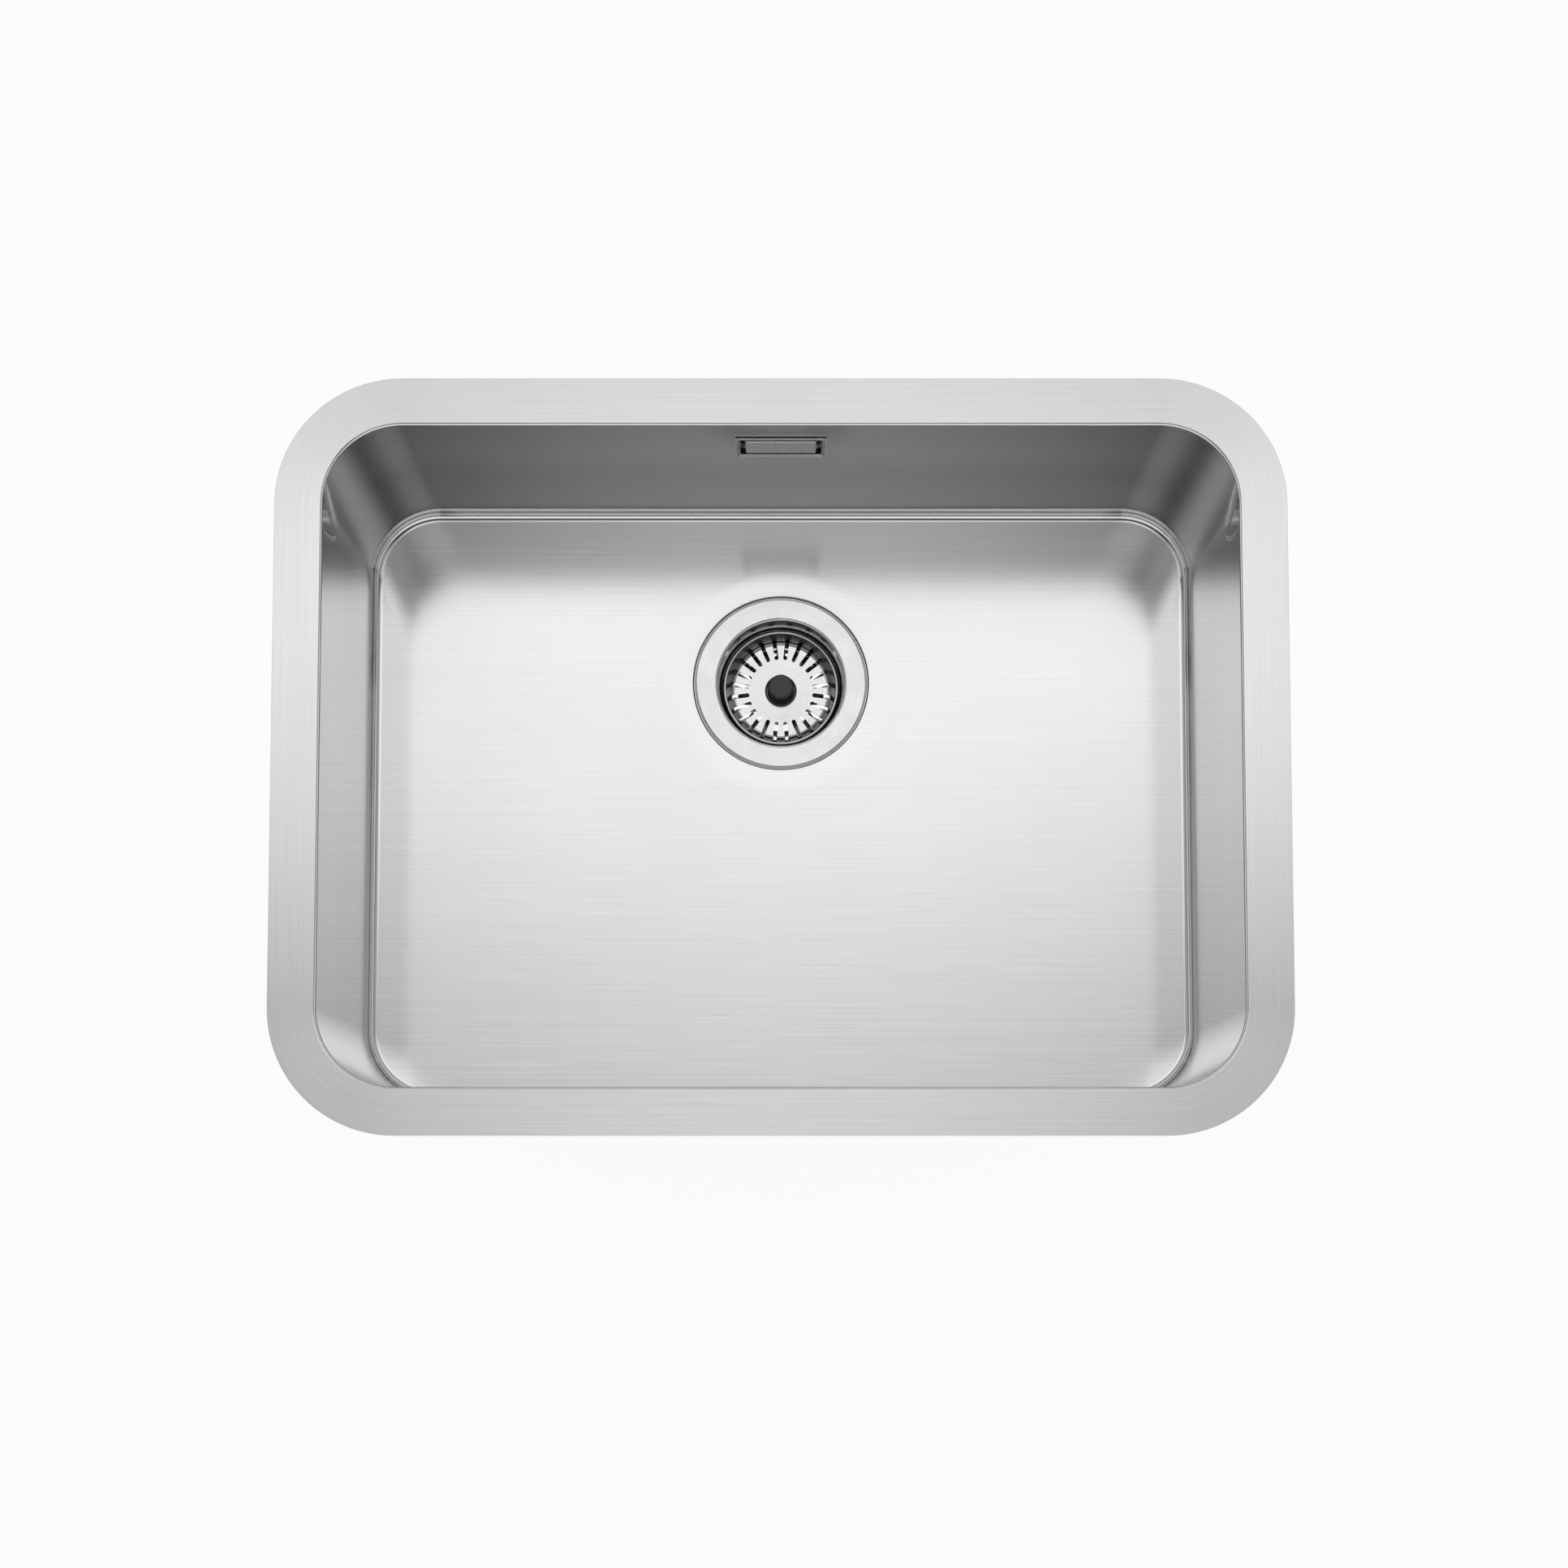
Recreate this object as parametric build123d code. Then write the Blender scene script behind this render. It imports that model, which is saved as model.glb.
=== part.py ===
from build123d import *
from math import cos, radians, tan
import os

# Undermount kitchen sink: a pressed steel bowl with a basket strainer waste and a rear overflow.
# Millimetres. X runs along the sink, Y from front to rear, Z up. The origin is the centre of the bowl's
# mouth, level with the flange's top face, which bears on the underside of the worktop.

# Bowl
SHEET = 1.0                  # steel of the bowl
MOUTH_LENGTH = 547.0         # between the lines where the flange starts to bend down
MOUTH_WIDTH = 397.0
MOUTH_CORNER_R = 48.5
FLANGE_WIDTH = 26.5          # flat part of the flange
BOWL_DEPTH = 190.0
WALL_DRAFT = 0.5             # degrees
RIM_BEND_R = 1.0             # hidden side of the bend from flange to wall
FLOOR_BEND_R = 7.5           # seen side of the bend from wall to floor

# Strainer place and the pressing that carries it
WASTE_Y = 81.0               # waste axis, behind the sink's centre
WASTE_HOLE_R = 45.0          # standard 90 mm waste hole
DISH_R = 72.0                # where the floor starts to dip
SEAT_CLEARANCE = 1.5         # between the strainer flange and the edge of its seat

# Strainer cup
CUP_SHEET = 0.8
CUP_FLANGE_R = 57.0
CUP_LIP_R = 1.6              # rolled outer edge
CUP_MOUTH_R = 41.9
CUP_EDGE_R = 2.0             # bend from flange to cup wall
CUP_WALL_R = 39.6            # just above the sloping basket seat
CUP_THROAT_R = 37.4          # just below it
CUP_SEAT_Z = 16.8            # depth of the seat's upper edge
CUP_FLOOR_R = 36.8
CUP_DEPTH = 45.0
CUP_STEP_BEND_R = 1.2
CUP_FLOOR_BEND_R = 5.0
DRAIN_HOLES = 8
DRAIN_HOLE_R = 6.0
DRAIN_HOLE_CIRCLE_R = 23.0

# Seals of the waste
UPPER_SEAL_T = 1.4
LOWER_SEAL_T = 2.0
SEAL_INNER_GAP = 1.0         # from the waste hole's edge out to each seal
SEAL_WIDTH = 8.0

# Waste body
BODY_WALL = 3.0
BODY_GAP = 0.7               # round the cup, below its flange
BODY_FLANGE_WIDTH = 9.6      # past the body's wall
BODY_FLANGE_T = 4.0
CHAMBER_DEPTH = 5.0          # straight chamber under the cup's floor
FUNNEL_HEIGHT = 16.0
OUTLET_LENGTH = 32.0
OUTLET_PITCH_R = 23.16       # mean radius of a 1 1/2 inch pipe thread
OUTLET_BORE_R = 20.0
GUSSETS = 12
GUSSET_T = 2.4
GUSSET_HEIGHT = 13.0
HUB_R = 13.0
HUB_RIBS = 4
HUB_RIB_T = 2.6
HUB_RIB_HEIGHT = 14.0

# Central screw and the catch in it
SCREW_R = 8.0
SCREW_HEAD_R = 12.0
SCREW_HEAD_T = 3.0
SCREW_LENGTH = 17.5
SCREW_BORE_R = 5.6
SCREW_END_WALL = 3.0
SCREW_SLOT_W = 2.4
SCREW_SLOT_DEPTH = 1.2
WASHER_T = 1.0
WASHER_MARGIN = 0.5          # past the screw's head
INSERT_WALL = 2.5
INSERT_LENGTH = 15.0
INSERT_DEPTH = 1.0           # below the hub's top
CATCH_SLITS = 4
CATCH_SLIT_W = 1.0
CATCH_SLIT_DEPTH = 9.0
CATCH_RING_WIRE_R = 0.35
CATCH_RING_DEPTH = 4.0       # of the ring below the catch's top

# Basket
BASKET_SHEET = 0.7
BASKET_RIM_R = 38.1
BASKET_BEAD_R = 0.8          # rolled rim
BASKET_RIM_Z = 16.0          # depth of the rim's top below the strainer flange
BASKET_DEPTH = 10.7          # from the rim's top to the slotted floor
BASKET_FLOOR_R = 32.6
BASKET_BEND_R = 3.0
BASKET_DIP_R = 20.0          # where the middle starts to dip
BASKET_DIP = 4.0
BASKET_DIP_FLAT_R = 9.8
SLOTS = 24
SLOT_W = 2.0
SLOT_INNER_R = 21.2
SLOT_TOP = 3.7               # height of the slots' upper ends above the slotted floor
BASKET_SEAL_HEIGHT = 3.4
BASKET_SEAL_LIP = 1.2        # how far the seal's lip reaches over the basket's wall at the top

# Knob, post and nut of the basket
KNOB_HEAD_R = 8.05
KNOB_WAIST_R = 5.2
KNOB_BASE_R = 9.2
KNOB_HEIGHT = 19.4
KNOB_HEAD_T = 3.2
KNOB_BASE_T = 1.6
KNOB_EDGE_R = 1.0
POST_R = 3.05
POST_STUD_R = 2.5
POST_STUD_IN_KNOB = 13.0
POST_REACH = 21.6            # below the nut
POST_GROOVE_DEPTH = 0.45
POST_GROOVE_W = 1.6
POST_GROOVE_STEP = 7.0       # between the closed and the draining place
NUT_ACROSS_FLATS = 10.0
NUT_T = 4.0

# Overflow, in the rear wall
OVERFLOW_Z = -41.2           # middle of the frame
FRAME_LENGTH = 55.0
FRAME_HEIGHT = 35.3
FRAME_PROUD = 1.6            # in front of the wall
FRAME_EDGE = 0.7             # flat front edge round the bevel
FRAME_BEVEL_W = 2.2
FRAME_BEVEL_DEPTH = 1.2
FRAME_CORNER_R = 1.2
COLLAR_T = 0.8
TAB_T = 1.2
TAB_W = 9.0
OVERFLOW_SCREW_X = 12.0
OVERFLOW_SCREW_R = 2.0
OVERFLOW_SCREW_HEAD_R = 3.8
OVERFLOW_SCREW_HEAD_T = 1.8
OVERFLOW_SCREW_LENGTH = 13.0
GASKET_T = 2.0
GASKET_MARGIN = 4.9          # width of the gasket's face
GASKET_CORNER_R = 4.0
COVER_LENGTH = 43.0
COVER_HEIGHT = 22.0
COVER_T = 0.8
COVER_CORNER_R = 1.5
COVER_SET_BACK = 0.6         # behind the frame's front edge
COVER_SKIRT = 1.0
CLIP_T = 0.5
CLIP_W = 7.0
CLIP_REACH = 6.5
CLIP_FOOT = 5.4
CLIP_GAP = 0.3               # between a clip's bow and the frame's throat

# Overflow housing
HOUSING_WALL = 1.8
HOUSING_DEPTH = 19.7         # hollow, behind the gasket
HOUSING_FLANGE_T = 2.5
BOSS_R = 4.2

# Overflow hose, its spigots and its clips
HOSE_BEHIND = 13.5           # hose axis behind the rear wall's outer face
HOSE_BORE_R = 7.6
HOSE_ROOT_R = 8.6
HOSE_CREST_R = 10.5
HOSE_CUFF_R = 11.0
HOSE_CUFF_LENGTH = 24.0
HOSE_BEND_R = 50.0
HOSE_RIB_PITCH = 3.2
SPIGOT_R = 8.8
SPIGOT_BORE_R = 6.8
SPIGOT_LENGTH = 22.0
SPIGOT_SHOULDER_R = 12.0
SPIGOT_SHOULDER = 1.6
INLET_Z = 37.0               # depth of the inlet's axis below the strainer flange
BAND_T = 0.9
BAND_W = 9.0
BAND_PLACE = 11.0            # middle of the band, from the cuff's mouth
LUG_LENGTH = 8.0
LUG_HEIGHT = 8.0
WORM_R = 2.2
WORM_LENGTH = 13.0
WORM_HEAD_R = 3.4
WORM_HEAD_T = 3.0

# Sound pads
PAD_T = 2.0
PAD_EDGE = 20.0              # from the flat floor's edge
PAD_GAP = 16.0               # beside the waste body's flange
PAD_CORNER_R = 12.0

# Clearances
FIT = 0.05                   # radial, of a part that turns, slides or screws in another
LOOSE = 0.2                  # between fixed parts that only stand near each other
SEAL_GAP = 0.3               # between the basket's seal and the cup

# Worked out from the sizes above
RIM_BEND_SEEN_R = RIM_BEND_R + SHEET
RIM_SETBACK = RIM_BEND_SEEN_R * tan(radians((90 - WALL_DRAFT) / 2))
SHEET_ACROSS = SHEET / cos(radians(WALL_DRAFT))
DISH_DEPTH = CUP_SHEET + UPPER_SEAL_T
SEAT_R = CUP_FLANGE_R + SEAT_CLEARANCE
SEAT_BOTTOM_Z = CUP_SEAT_Z + CUP_WALL_R - CUP_THROAT_R
BODY_TOP = DISH_DEPTH + SHEET + LOWER_SEAL_T
BODY_BORE_R = CUP_MOUTH_R + CUP_SHEET + BODY_GAP
BODY_R = BODY_BORE_R + BODY_WALL
BODY_FLANGE_R = BODY_R + BODY_FLANGE_WIDTH
CUP_UNDERSIDE = CUP_DEPTH + CUP_SHEET
CHAMBER_BOTTOM = CUP_UNDERSIDE + CHAMBER_DEPTH
FUNNEL_BOTTOM = CHAMBER_BOTTOM + FUNNEL_HEIGHT
OUTLET_BOTTOM = FUNNEL_BOTTOM + OUTLET_LENGTH
HUB_BOTTOM = FUNNEL_BOTTOM + HUB_RIB_HEIGHT
INSERT_R = SCREW_R + FIT + INSERT_WALL
SCREW_SEAT = CUP_DEPTH - WASHER_T
SCREW_TOP = SCREW_SEAT - SCREW_HEAD_T
SCREW_END = SCREW_SEAT + SCREW_LENGTH
CATCH_BOTTOM = SCREW_END - SCREW_END_WALL
BASKET_FLOOR_Z = BASKET_RIM_Z + BASKET_DEPTH
DIP_Z = BASKET_FLOOR_Z + BASKET_DIP
NUT_TOP = DIP_Z + BASKET_SHEET
POST_SHOULDER = NUT_TOP + NUT_T
POST_END = POST_SHOULDER + POST_REACH
THROAT_LENGTH = FRAME_LENGTH - 2 * (FRAME_EDGE + FRAME_BEVEL_W)
THROAT_HEIGHT = FRAME_HEIGHT - 2 * (FRAME_EDGE + FRAME_BEVEL_W)
COLLAR_LENGTH = THROAT_LENGTH + 2 * COLLAR_T
COLLAR_HEIGHT = THROAT_HEIGHT + 2 * COLLAR_T
WALL_HOLE_LENGTH = COLLAR_LENGTH + 2 * LOOSE
WALL_HOLE_HEIGHT = COLLAR_HEIGHT + 2 * LOOSE
COLLAR_END = SHEET + GASKET_T + LOOSE
GASKET_LENGTH = WALL_HOLE_LENGTH + 2 * GASKET_MARGIN
GASKET_HEIGHT = WALL_HOLE_HEIGHT + 2 * GASKET_MARGIN
HOUSING_FRONT = SHEET + GASKET_T
HOUSING_BACK = HOUSING_FRONT + HOUSING_DEPTH
HOUSING_LENGTH = WALL_HOLE_LENGTH + 2 * HOUSING_WALL
HOUSING_HEIGHT = WALL_HOLE_HEIGHT + 2 * HOUSING_WALL
HOSE_Y = SHEET + HOSE_BEHIND
HOSE_START = GASKET_HEIGHT / 2 + LOOSE
CUFF_BORE_R = SPIGOT_R + FIT


def wall_inset(z):
    """How far the bowl wall's seen face stands inside the mouth line at height z."""
    return RIM_SETBACK - z * tan(radians(WALL_DRAFT))


def outline(z, inset):
    """The mouth's rounded rectangle, drawn in by inset, at height z."""
    shape = RectangleRounded(MOUTH_LENGTH - 2 * inset, MOUTH_WIDTH - 2 * inset, MOUTH_CORNER_R - inset)
    return Pos(0, 0, z) * shape


def turned(*corners):
    """A closed outline, given in radius and height, turned about the Z axis."""
    face = make_face(Plane.XZ * Polyline(*corners, close=True))
    return revolve(face, Axis.Z)


def pressed(corners, bends, thickness):
    """Sheet steel turned about Z. Its seen face follows the corners from the outside in."""
    with BuildPart() as sheet:
        with BuildSketch(Plane.XZ):
            with BuildLine():
                FilletPolyline(*corners, radius=bends)
                offset(amount=thickness, side=Side.LEFT)
            make_face()
        revolve(axis=Axis.Z)
    return sheet.part


def disc(radius, top, bottom):
    """A solid cylinder on the Z axis between two heights."""
    return Pos(0, 0, bottom) * Cylinder(radius, top - bottom, align=(Align.CENTER, Align.CENTER, Align.MIN))


def ring(outer, inner, top, bottom):
    """A flat ring on the Z axis between two heights."""
    return disc(outer, top, bottom) - disc(inner, top + 1, bottom - 1)


def panel(length, height, corner, front, back):
    """A rounded block in the wall's frame, between two distances behind the wall's seen face."""
    face = RectangleRounded(length, height, corner)
    return Pos(0, back, 0) * extrude(Plane.XZ * face, back - front)


def along_y(radius, front, back, x=0.0, z=0.0):
    """A round bar that runs from front to back in the wall's frame."""
    return Pos(x, front, z) * Rot(-90, 0, 0) * Cylinder(
        radius, back - front, align=(Align.CENTER, Align.CENTER, Align.MIN)
    )


WASTE = Pos(0, WASTE_Y, -BOWL_DEPTH)
WALL = Location((0, MOUTH_WIDTH / 2 - wall_inset(OVERFLOW_Z), OVERFLOW_Z), (-WALL_DRAFT, 0, 0))


# ---------------------------------------------------------------- bowl


def bowl_shell():
    hidden_top = -SHEET / 2
    floor_out = -BOWL_DEPTH - SHEET
    cavity = loft([outline(1, wall_inset(1)), outline(-BOWL_DEPTH, wall_inset(-BOWL_DEPTH))], ruled=True)
    cavity = fillet(cavity.edges().group_by(Axis.Z)[0], FLOOR_BEND_R)
    body = loft(
        [
            outline(hidden_top, wall_inset(hidden_top) - SHEET_ACROSS),
            outline(floor_out, wall_inset(floor_out) - SHEET_ACROSS),
        ],
        ruled=True,
    )
    body = fillet(body.edges().group_by(Axis.Z)[0], FLOOR_BEND_R + SHEET)
    flange = extrude(outline(-SHEET, -FLANGE_WIDTH), SHEET)
    shell = flange + body
    shell = fillet(mouth_edges(shell, -SHEET), RIM_BEND_R)
    shell -= cavity
    shell = fillet(mouth_edges(shell, 0), RIM_BEND_SEEN_R)
    shell -= WASTE * disc(DISH_R, 1, -SHEET - 1)
    shell += WASTE * dish()
    shell -= WALL * panel(WALL_HOLE_LENGTH, WALL_HOLE_HEIGHT, FRAME_CORNER_R, -5, SHEET + 5)
    return shell


def mouth_edges(shell, z):
    """The inner edges of the flange's flat face at height z, where it meets the bowl's wall."""
    level = shell.faces().filter_by(GeomType.PLANE).filter_by_position(Axis.Z, z - 0.01, z + 0.01)
    return level.sort_by(SortBy.AREA)[-1].inner_wires()[0].edges()


def dish():
    """The shallow pressing round the waste hole that takes the strainer flange."""
    halfway = ((DISH_R + SEAT_R) / 2, -DISH_DEPTH / 2)
    below = (halfway[0], halfway[1] - SHEET)
    with BuildPart() as pressing:
        with BuildSketch(Plane.XZ):
            with BuildLine():
                outer = TangentArc((DISH_R, 0), halfway, tangent=(-1, 0))
                TangentArc(halfway, (SEAT_R, -DISH_DEPTH), tangent=outer % 1)
                Line((SEAT_R, -DISH_DEPTH), (WASTE_HOLE_R, -DISH_DEPTH))
                Line((WASTE_HOLE_R, -DISH_DEPTH), (WASTE_HOLE_R, -DISH_DEPTH - SHEET))
                Line((WASTE_HOLE_R, -DISH_DEPTH - SHEET), (SEAT_R, -DISH_DEPTH - SHEET))
                lower = TangentArc((SEAT_R, -DISH_DEPTH - SHEET), below, tangent=(1, 0))
                TangentArc(below, (DISH_R, -SHEET), tangent=lower % 1)
                Line((DISH_R, -SHEET), (DISH_R, 0))
            make_face()
        revolve(axis=Axis.Z)
    return pressing.part


def base_pad(left, right, front, rear):
    """A sound pad stuck under the floor, between four distances from the sink's centre."""
    pad = extrude(RectangleRounded(right - left, rear - front, PAD_CORNER_R), PAD_T)
    return Pos((left + right) / 2, (front + rear) / 2, -BOWL_DEPTH - SHEET - PAD_T) * pad


def base_pads():
    floor_inset = wall_inset(-BOWL_DEPTH) + FLOOR_BEND_R + PAD_EDGE
    side = MOUTH_LENGTH / 2 - floor_inset
    depth = MOUTH_WIDTH / 2 - floor_inset
    beside = max(DISH_R, BODY_FLANGE_R) + PAD_GAP
    return {
        "base_pad_left": base_pad(-side, -beside, -depth, depth),
        "base_pad_right": base_pad(beside, side, -depth, depth),
        "base_pad_front": base_pad(-beside + PAD_GAP, beside - PAD_GAP, -depth, WASTE_Y - beside),
    }


# ---------------------------------------------------------------- strainer, in the waste's frame


def strainer_cup():
    lip = DISH_DEPTH - LOOSE
    cup = pressed(
        [
            (CUP_FLANGE_R, -lip),
            (CUP_FLANGE_R, 0),
            (CUP_MOUTH_R, 0),
            (CUP_WALL_R, -CUP_SEAT_Z),
            (CUP_THROAT_R, -SEAT_BOTTOM_Z),
            (CUP_FLOOR_R, -CUP_DEPTH),
            (SCREW_R + LOOSE, -CUP_DEPTH),
        ],
        [CUP_LIP_R, CUP_EDGE_R, CUP_STEP_BEND_R, CUP_STEP_BEND_R, CUP_FLOOR_BEND_R],
        CUP_SHEET,
    )
    hole = disc(DRAIN_HOLE_R, -CUP_DEPTH + 1, -CUP_UNDERSIDE - 1)
    cup -= PolarLocations(DRAIN_HOLE_CIRCLE_R, DRAIN_HOLES) * hole
    return cup


def upper_seal():
    inner = WASTE_HOLE_R + SEAL_INNER_GAP
    return ring(inner + SEAL_WIDTH, inner, -CUP_SHEET, -DISH_DEPTH)


def lower_seal():
    inner = WASTE_HOLE_R + SEAL_INNER_GAP
    return ring(inner + SEAL_WIDTH, inner, -DISH_DEPTH - SHEET, -BODY_TOP)


def waste_body():
    flange_bottom = BODY_TOP + BODY_FLANGE_T
    shell = turned(
        (BODY_BORE_R, -BODY_TOP),
        (BODY_FLANGE_R, -BODY_TOP),
        (BODY_FLANGE_R, -flange_bottom),
        (BODY_R, -flange_bottom),
        (BODY_R, -CHAMBER_BOTTOM),
        (OUTLET_PITCH_R, -FUNNEL_BOTTOM),
        (OUTLET_PITCH_R, -OUTLET_BOTTOM),
        (OUTLET_BORE_R, -OUTLET_BOTTOM),
        (OUTLET_BORE_R, -FUNNEL_BOTTOM),
        (BODY_BORE_R, -CHAMBER_BOTTOM),
    )
    web = make_face(
        Plane.XZ
        * Polyline(
            (BODY_R - BODY_WALL / 2, -flange_bottom + BODY_FLANGE_T / 2),
            (BODY_FLANGE_R - 1, -flange_bottom + BODY_FLANGE_T / 2),
            (BODY_FLANGE_R - 1, -flange_bottom),
            (BODY_R, -flange_bottom - GUSSET_HEIGHT),
            (BODY_R - BODY_WALL / 2, -flange_bottom - GUSSET_HEIGHT),
            close=True,
        )
    )
    gusset = extrude(web, GUSSET_T / 2, both=True)
    for turn in range(GUSSETS):
        shell += Rot(0, 0, 360 / GUSSETS * turn) * gusset
    shell += hub()
    inlet_root = BODY_R - BODY_WALL / 2
    shoulder_end = BODY_R + SPIGOT_SHOULDER
    level = Pos(0, 0, -INLET_Z)
    shell += level * along_y(SPIGOT_SHOULDER_R, inlet_root, shoulder_end)
    shell += level * along_y(SPIGOT_R, inlet_root, shoulder_end + SPIGOT_LENGTH)
    shell -= disc(BODY_BORE_R, -BODY_TOP, -CHAMBER_BOTTOM) - disc(HUB_R, -BODY_TOP, -CHAMBER_BOTTOM)
    shell -= level * along_y(SPIGOT_BORE_R, BODY_BORE_R - 5, shoulder_end + SPIGOT_LENGTH + 1)
    return shell


def hub():
    """The middle of the waste body, held by ribs across the outlet, with the insert's bore."""
    middle = disc(HUB_R, -CUP_UNDERSIDE, -HUB_BOTTOM)
    reach = OUTLET_BORE_R + (OUTLET_PITCH_R - OUTLET_BORE_R) / 2
    rib = Pos(0, 0, -HUB_BOTTOM) * Box(
        reach, HUB_RIB_T, HUB_RIB_HEIGHT, align=(Align.MIN, Align.CENTER, Align.MIN)
    )
    for turn in range(HUB_RIBS):
        middle += Rot(0, 0, 45 + 360 / HUB_RIBS * turn) * rib
    bore_bottom = CUP_UNDERSIDE + INSERT_DEPTH + INSERT_LENGTH
    return middle - disc(INSERT_R + FIT, 1 - CUP_UNDERSIDE, -bore_bottom)


def screw_insert():
    top = CUP_UNDERSIDE + INSERT_DEPTH
    return ring(INSERT_R, SCREW_R + FIT, -top, -top - INSERT_LENGTH)


def screw_washer():
    return ring(SCREW_HEAD_R + WASHER_MARGIN, SCREW_R + LOOSE, -SCREW_SEAT, -CUP_DEPTH)


def waste_screw():
    screw = disc(SCREW_HEAD_R, -SCREW_TOP, -SCREW_SEAT)
    screw = chamfer(screw.edges().group_by(Axis.Z)[-1], SCREW_HEAD_T / 5)
    screw += disc(SCREW_R, -SCREW_SEAT, -SCREW_END)
    screw -= disc(SCREW_BORE_R, 1 - SCREW_TOP, -CATCH_BOTTOM)
    slot = Pos(0, 0, -SCREW_TOP - SCREW_SLOT_DEPTH) * Box(
        3 * SCREW_HEAD_R, SCREW_SLOT_W, 2 * SCREW_SLOT_DEPTH, align=(Align.CENTER, Align.CENTER, Align.MIN)
    )
    return screw - slot - Rot(0, 0, 90) * slot


def post_catch():
    outer = SCREW_BORE_R - FIT
    catch = ring(outer, POST_R + FIT, -SCREW_TOP, -CATCH_BOTTOM)
    slit = Pos(0, 0, -SCREW_TOP) * Box(
        3 * outer, CATCH_SLIT_W, 2 * CATCH_SLIT_DEPTH, align=(Align.CENTER, Align.CENTER, Align.CENTER)
    )
    for turn in range(CATCH_SLITS // 2):
        catch -= Rot(0, 0, 360 / CATCH_SLITS * turn) * slit
    groove_top = SCREW_TOP + CATCH_RING_DEPTH - CATCH_RING_WIRE_R - FIT
    groove_bottom = SCREW_TOP + CATCH_RING_DEPTH + CATCH_RING_WIRE_R + FIT
    return catch - ring(outer + 1, catch_groove_r(), -groove_top, -groove_bottom)


def catch_groove_r():
    return SCREW_BORE_R - 4 * FIT - 2 * CATCH_RING_WIRE_R


def catch_ring():
    middle_r = catch_groove_r() + FIT + CATCH_RING_WIRE_R
    return Pos(0, 0, -SCREW_TOP - CATCH_RING_DEPTH) * Torus(middle_r, CATCH_RING_WIRE_R)


# ---------------------------------------------------------------- basket, in the waste's frame


def basket_wall_r(depth):
    """Radius of the basket wall's seen face at a depth below the strainer flange."""
    start_r = BASKET_RIM_R - 2 * BASKET_BEAD_R + BASKET_SHEET / 2
    share = (depth - BASKET_RIM_Z - BASKET_BEAD_R) / (BASKET_DEPTH - BASKET_BEAD_R)
    return start_r + (BASKET_FLOOR_R - start_r) * share


def basket():
    wall_top = BASKET_RIM_Z + BASKET_BEAD_R
    shape = pressed(
        [
            (basket_wall_r(wall_top), -wall_top),
            (BASKET_FLOOR_R, -BASKET_FLOOR_Z),
            (BASKET_DIP_R, -BASKET_FLOOR_Z),
            (BASKET_DIP_FLAT_R, -DIP_Z),
            (POST_STUD_R + FIT, -DIP_Z),
        ],
        [BASKET_BEND_R, BASKET_BEND_R, BASKET_BEND_R],
        BASKET_SHEET,
    )
    bead = Pos(0, 0, -wall_top) * Torus(BASKET_RIM_R - BASKET_BEAD_R, BASKET_BEAD_R)
    shape += bead
    inner_end = SLOT_INNER_R + SLOT_W / 2
    length = BASKET_RIM_R - inner_end
    plan = Pos(inner_end + length / 2, 0) * SlotCenterToCenter(length, SLOT_W)
    cut = Pos(0, 0, -BASKET_FLOOR_Z + SLOT_TOP) * extrude(plan, -2 * SLOT_TOP)
    first = Rot(0, 0, 90 + 180 / SLOTS)
    shape -= [first * Rot(0, 0, 360 / SLOTS * turn) * cut for turn in range(SLOTS)]
    return shape


def basket_seal():
    top = BASKET_RIM_Z + 2 * BASKET_BEAD_R
    bottom = top + BASKET_SEAL_HEIGHT
    lean = (basket_wall_r(top) - basket_wall_r(bottom)) / BASKET_SEAL_HEIGHT
    sheet_across = BASKET_SHEET * (1 + lean**2) ** 0.5 + FIT
    slope_r = CUP_WALL_R - SEAL_GAP * 2**0.5 - (top - CUP_SEAT_Z)
    wall_r = CUP_THROAT_R - SEAL_GAP * 2
    lip_r = min(basket_wall_r(top) + sheet_across + BASKET_SEAL_LIP, slope_r)
    lip_bottom = top + lip_r - wall_r
    return turned(
        (basket_wall_r(top) + sheet_across, -top - FIT),
        (lip_r, -top - FIT),
        (wall_r, -lip_bottom - FIT),
        (wall_r, -bottom),
        (basket_wall_r(bottom) + sheet_across, -bottom),
    )


def basket_post():
    groove_bottom = SCREW_TOP + CATCH_RING_DEPTH + POST_GROOVE_W / 2
    post = disc(POST_R, -POST_SHOULDER, -POST_END)
    post = chamfer(post.edges().group_by(Axis.Z)[0], POST_GROOVE_DEPTH * 2)
    for step in range(2):
        bottom = groove_bottom + POST_GROOVE_STEP * step
        post -= ring(POST_R + 1, POST_R - POST_GROOVE_DEPTH, -bottom + POST_GROOVE_W, -bottom)
    return post + disc(POST_STUD_R, -DIP_Z + POST_STUD_IN_KNOB, -POST_SHOULDER)


def basket_nut():
    across_corners_r = NUT_ACROSS_FLATS / 2 / cos(radians(30))
    nut = Pos(0, 0, -POST_SHOULDER) * extrude(RegularPolygon(across_corners_r, 6), NUT_T)
    return nut - disc(POST_STUD_R + FIT, 1 - NUT_TOP, -POST_SHOULDER - 1)


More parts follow.
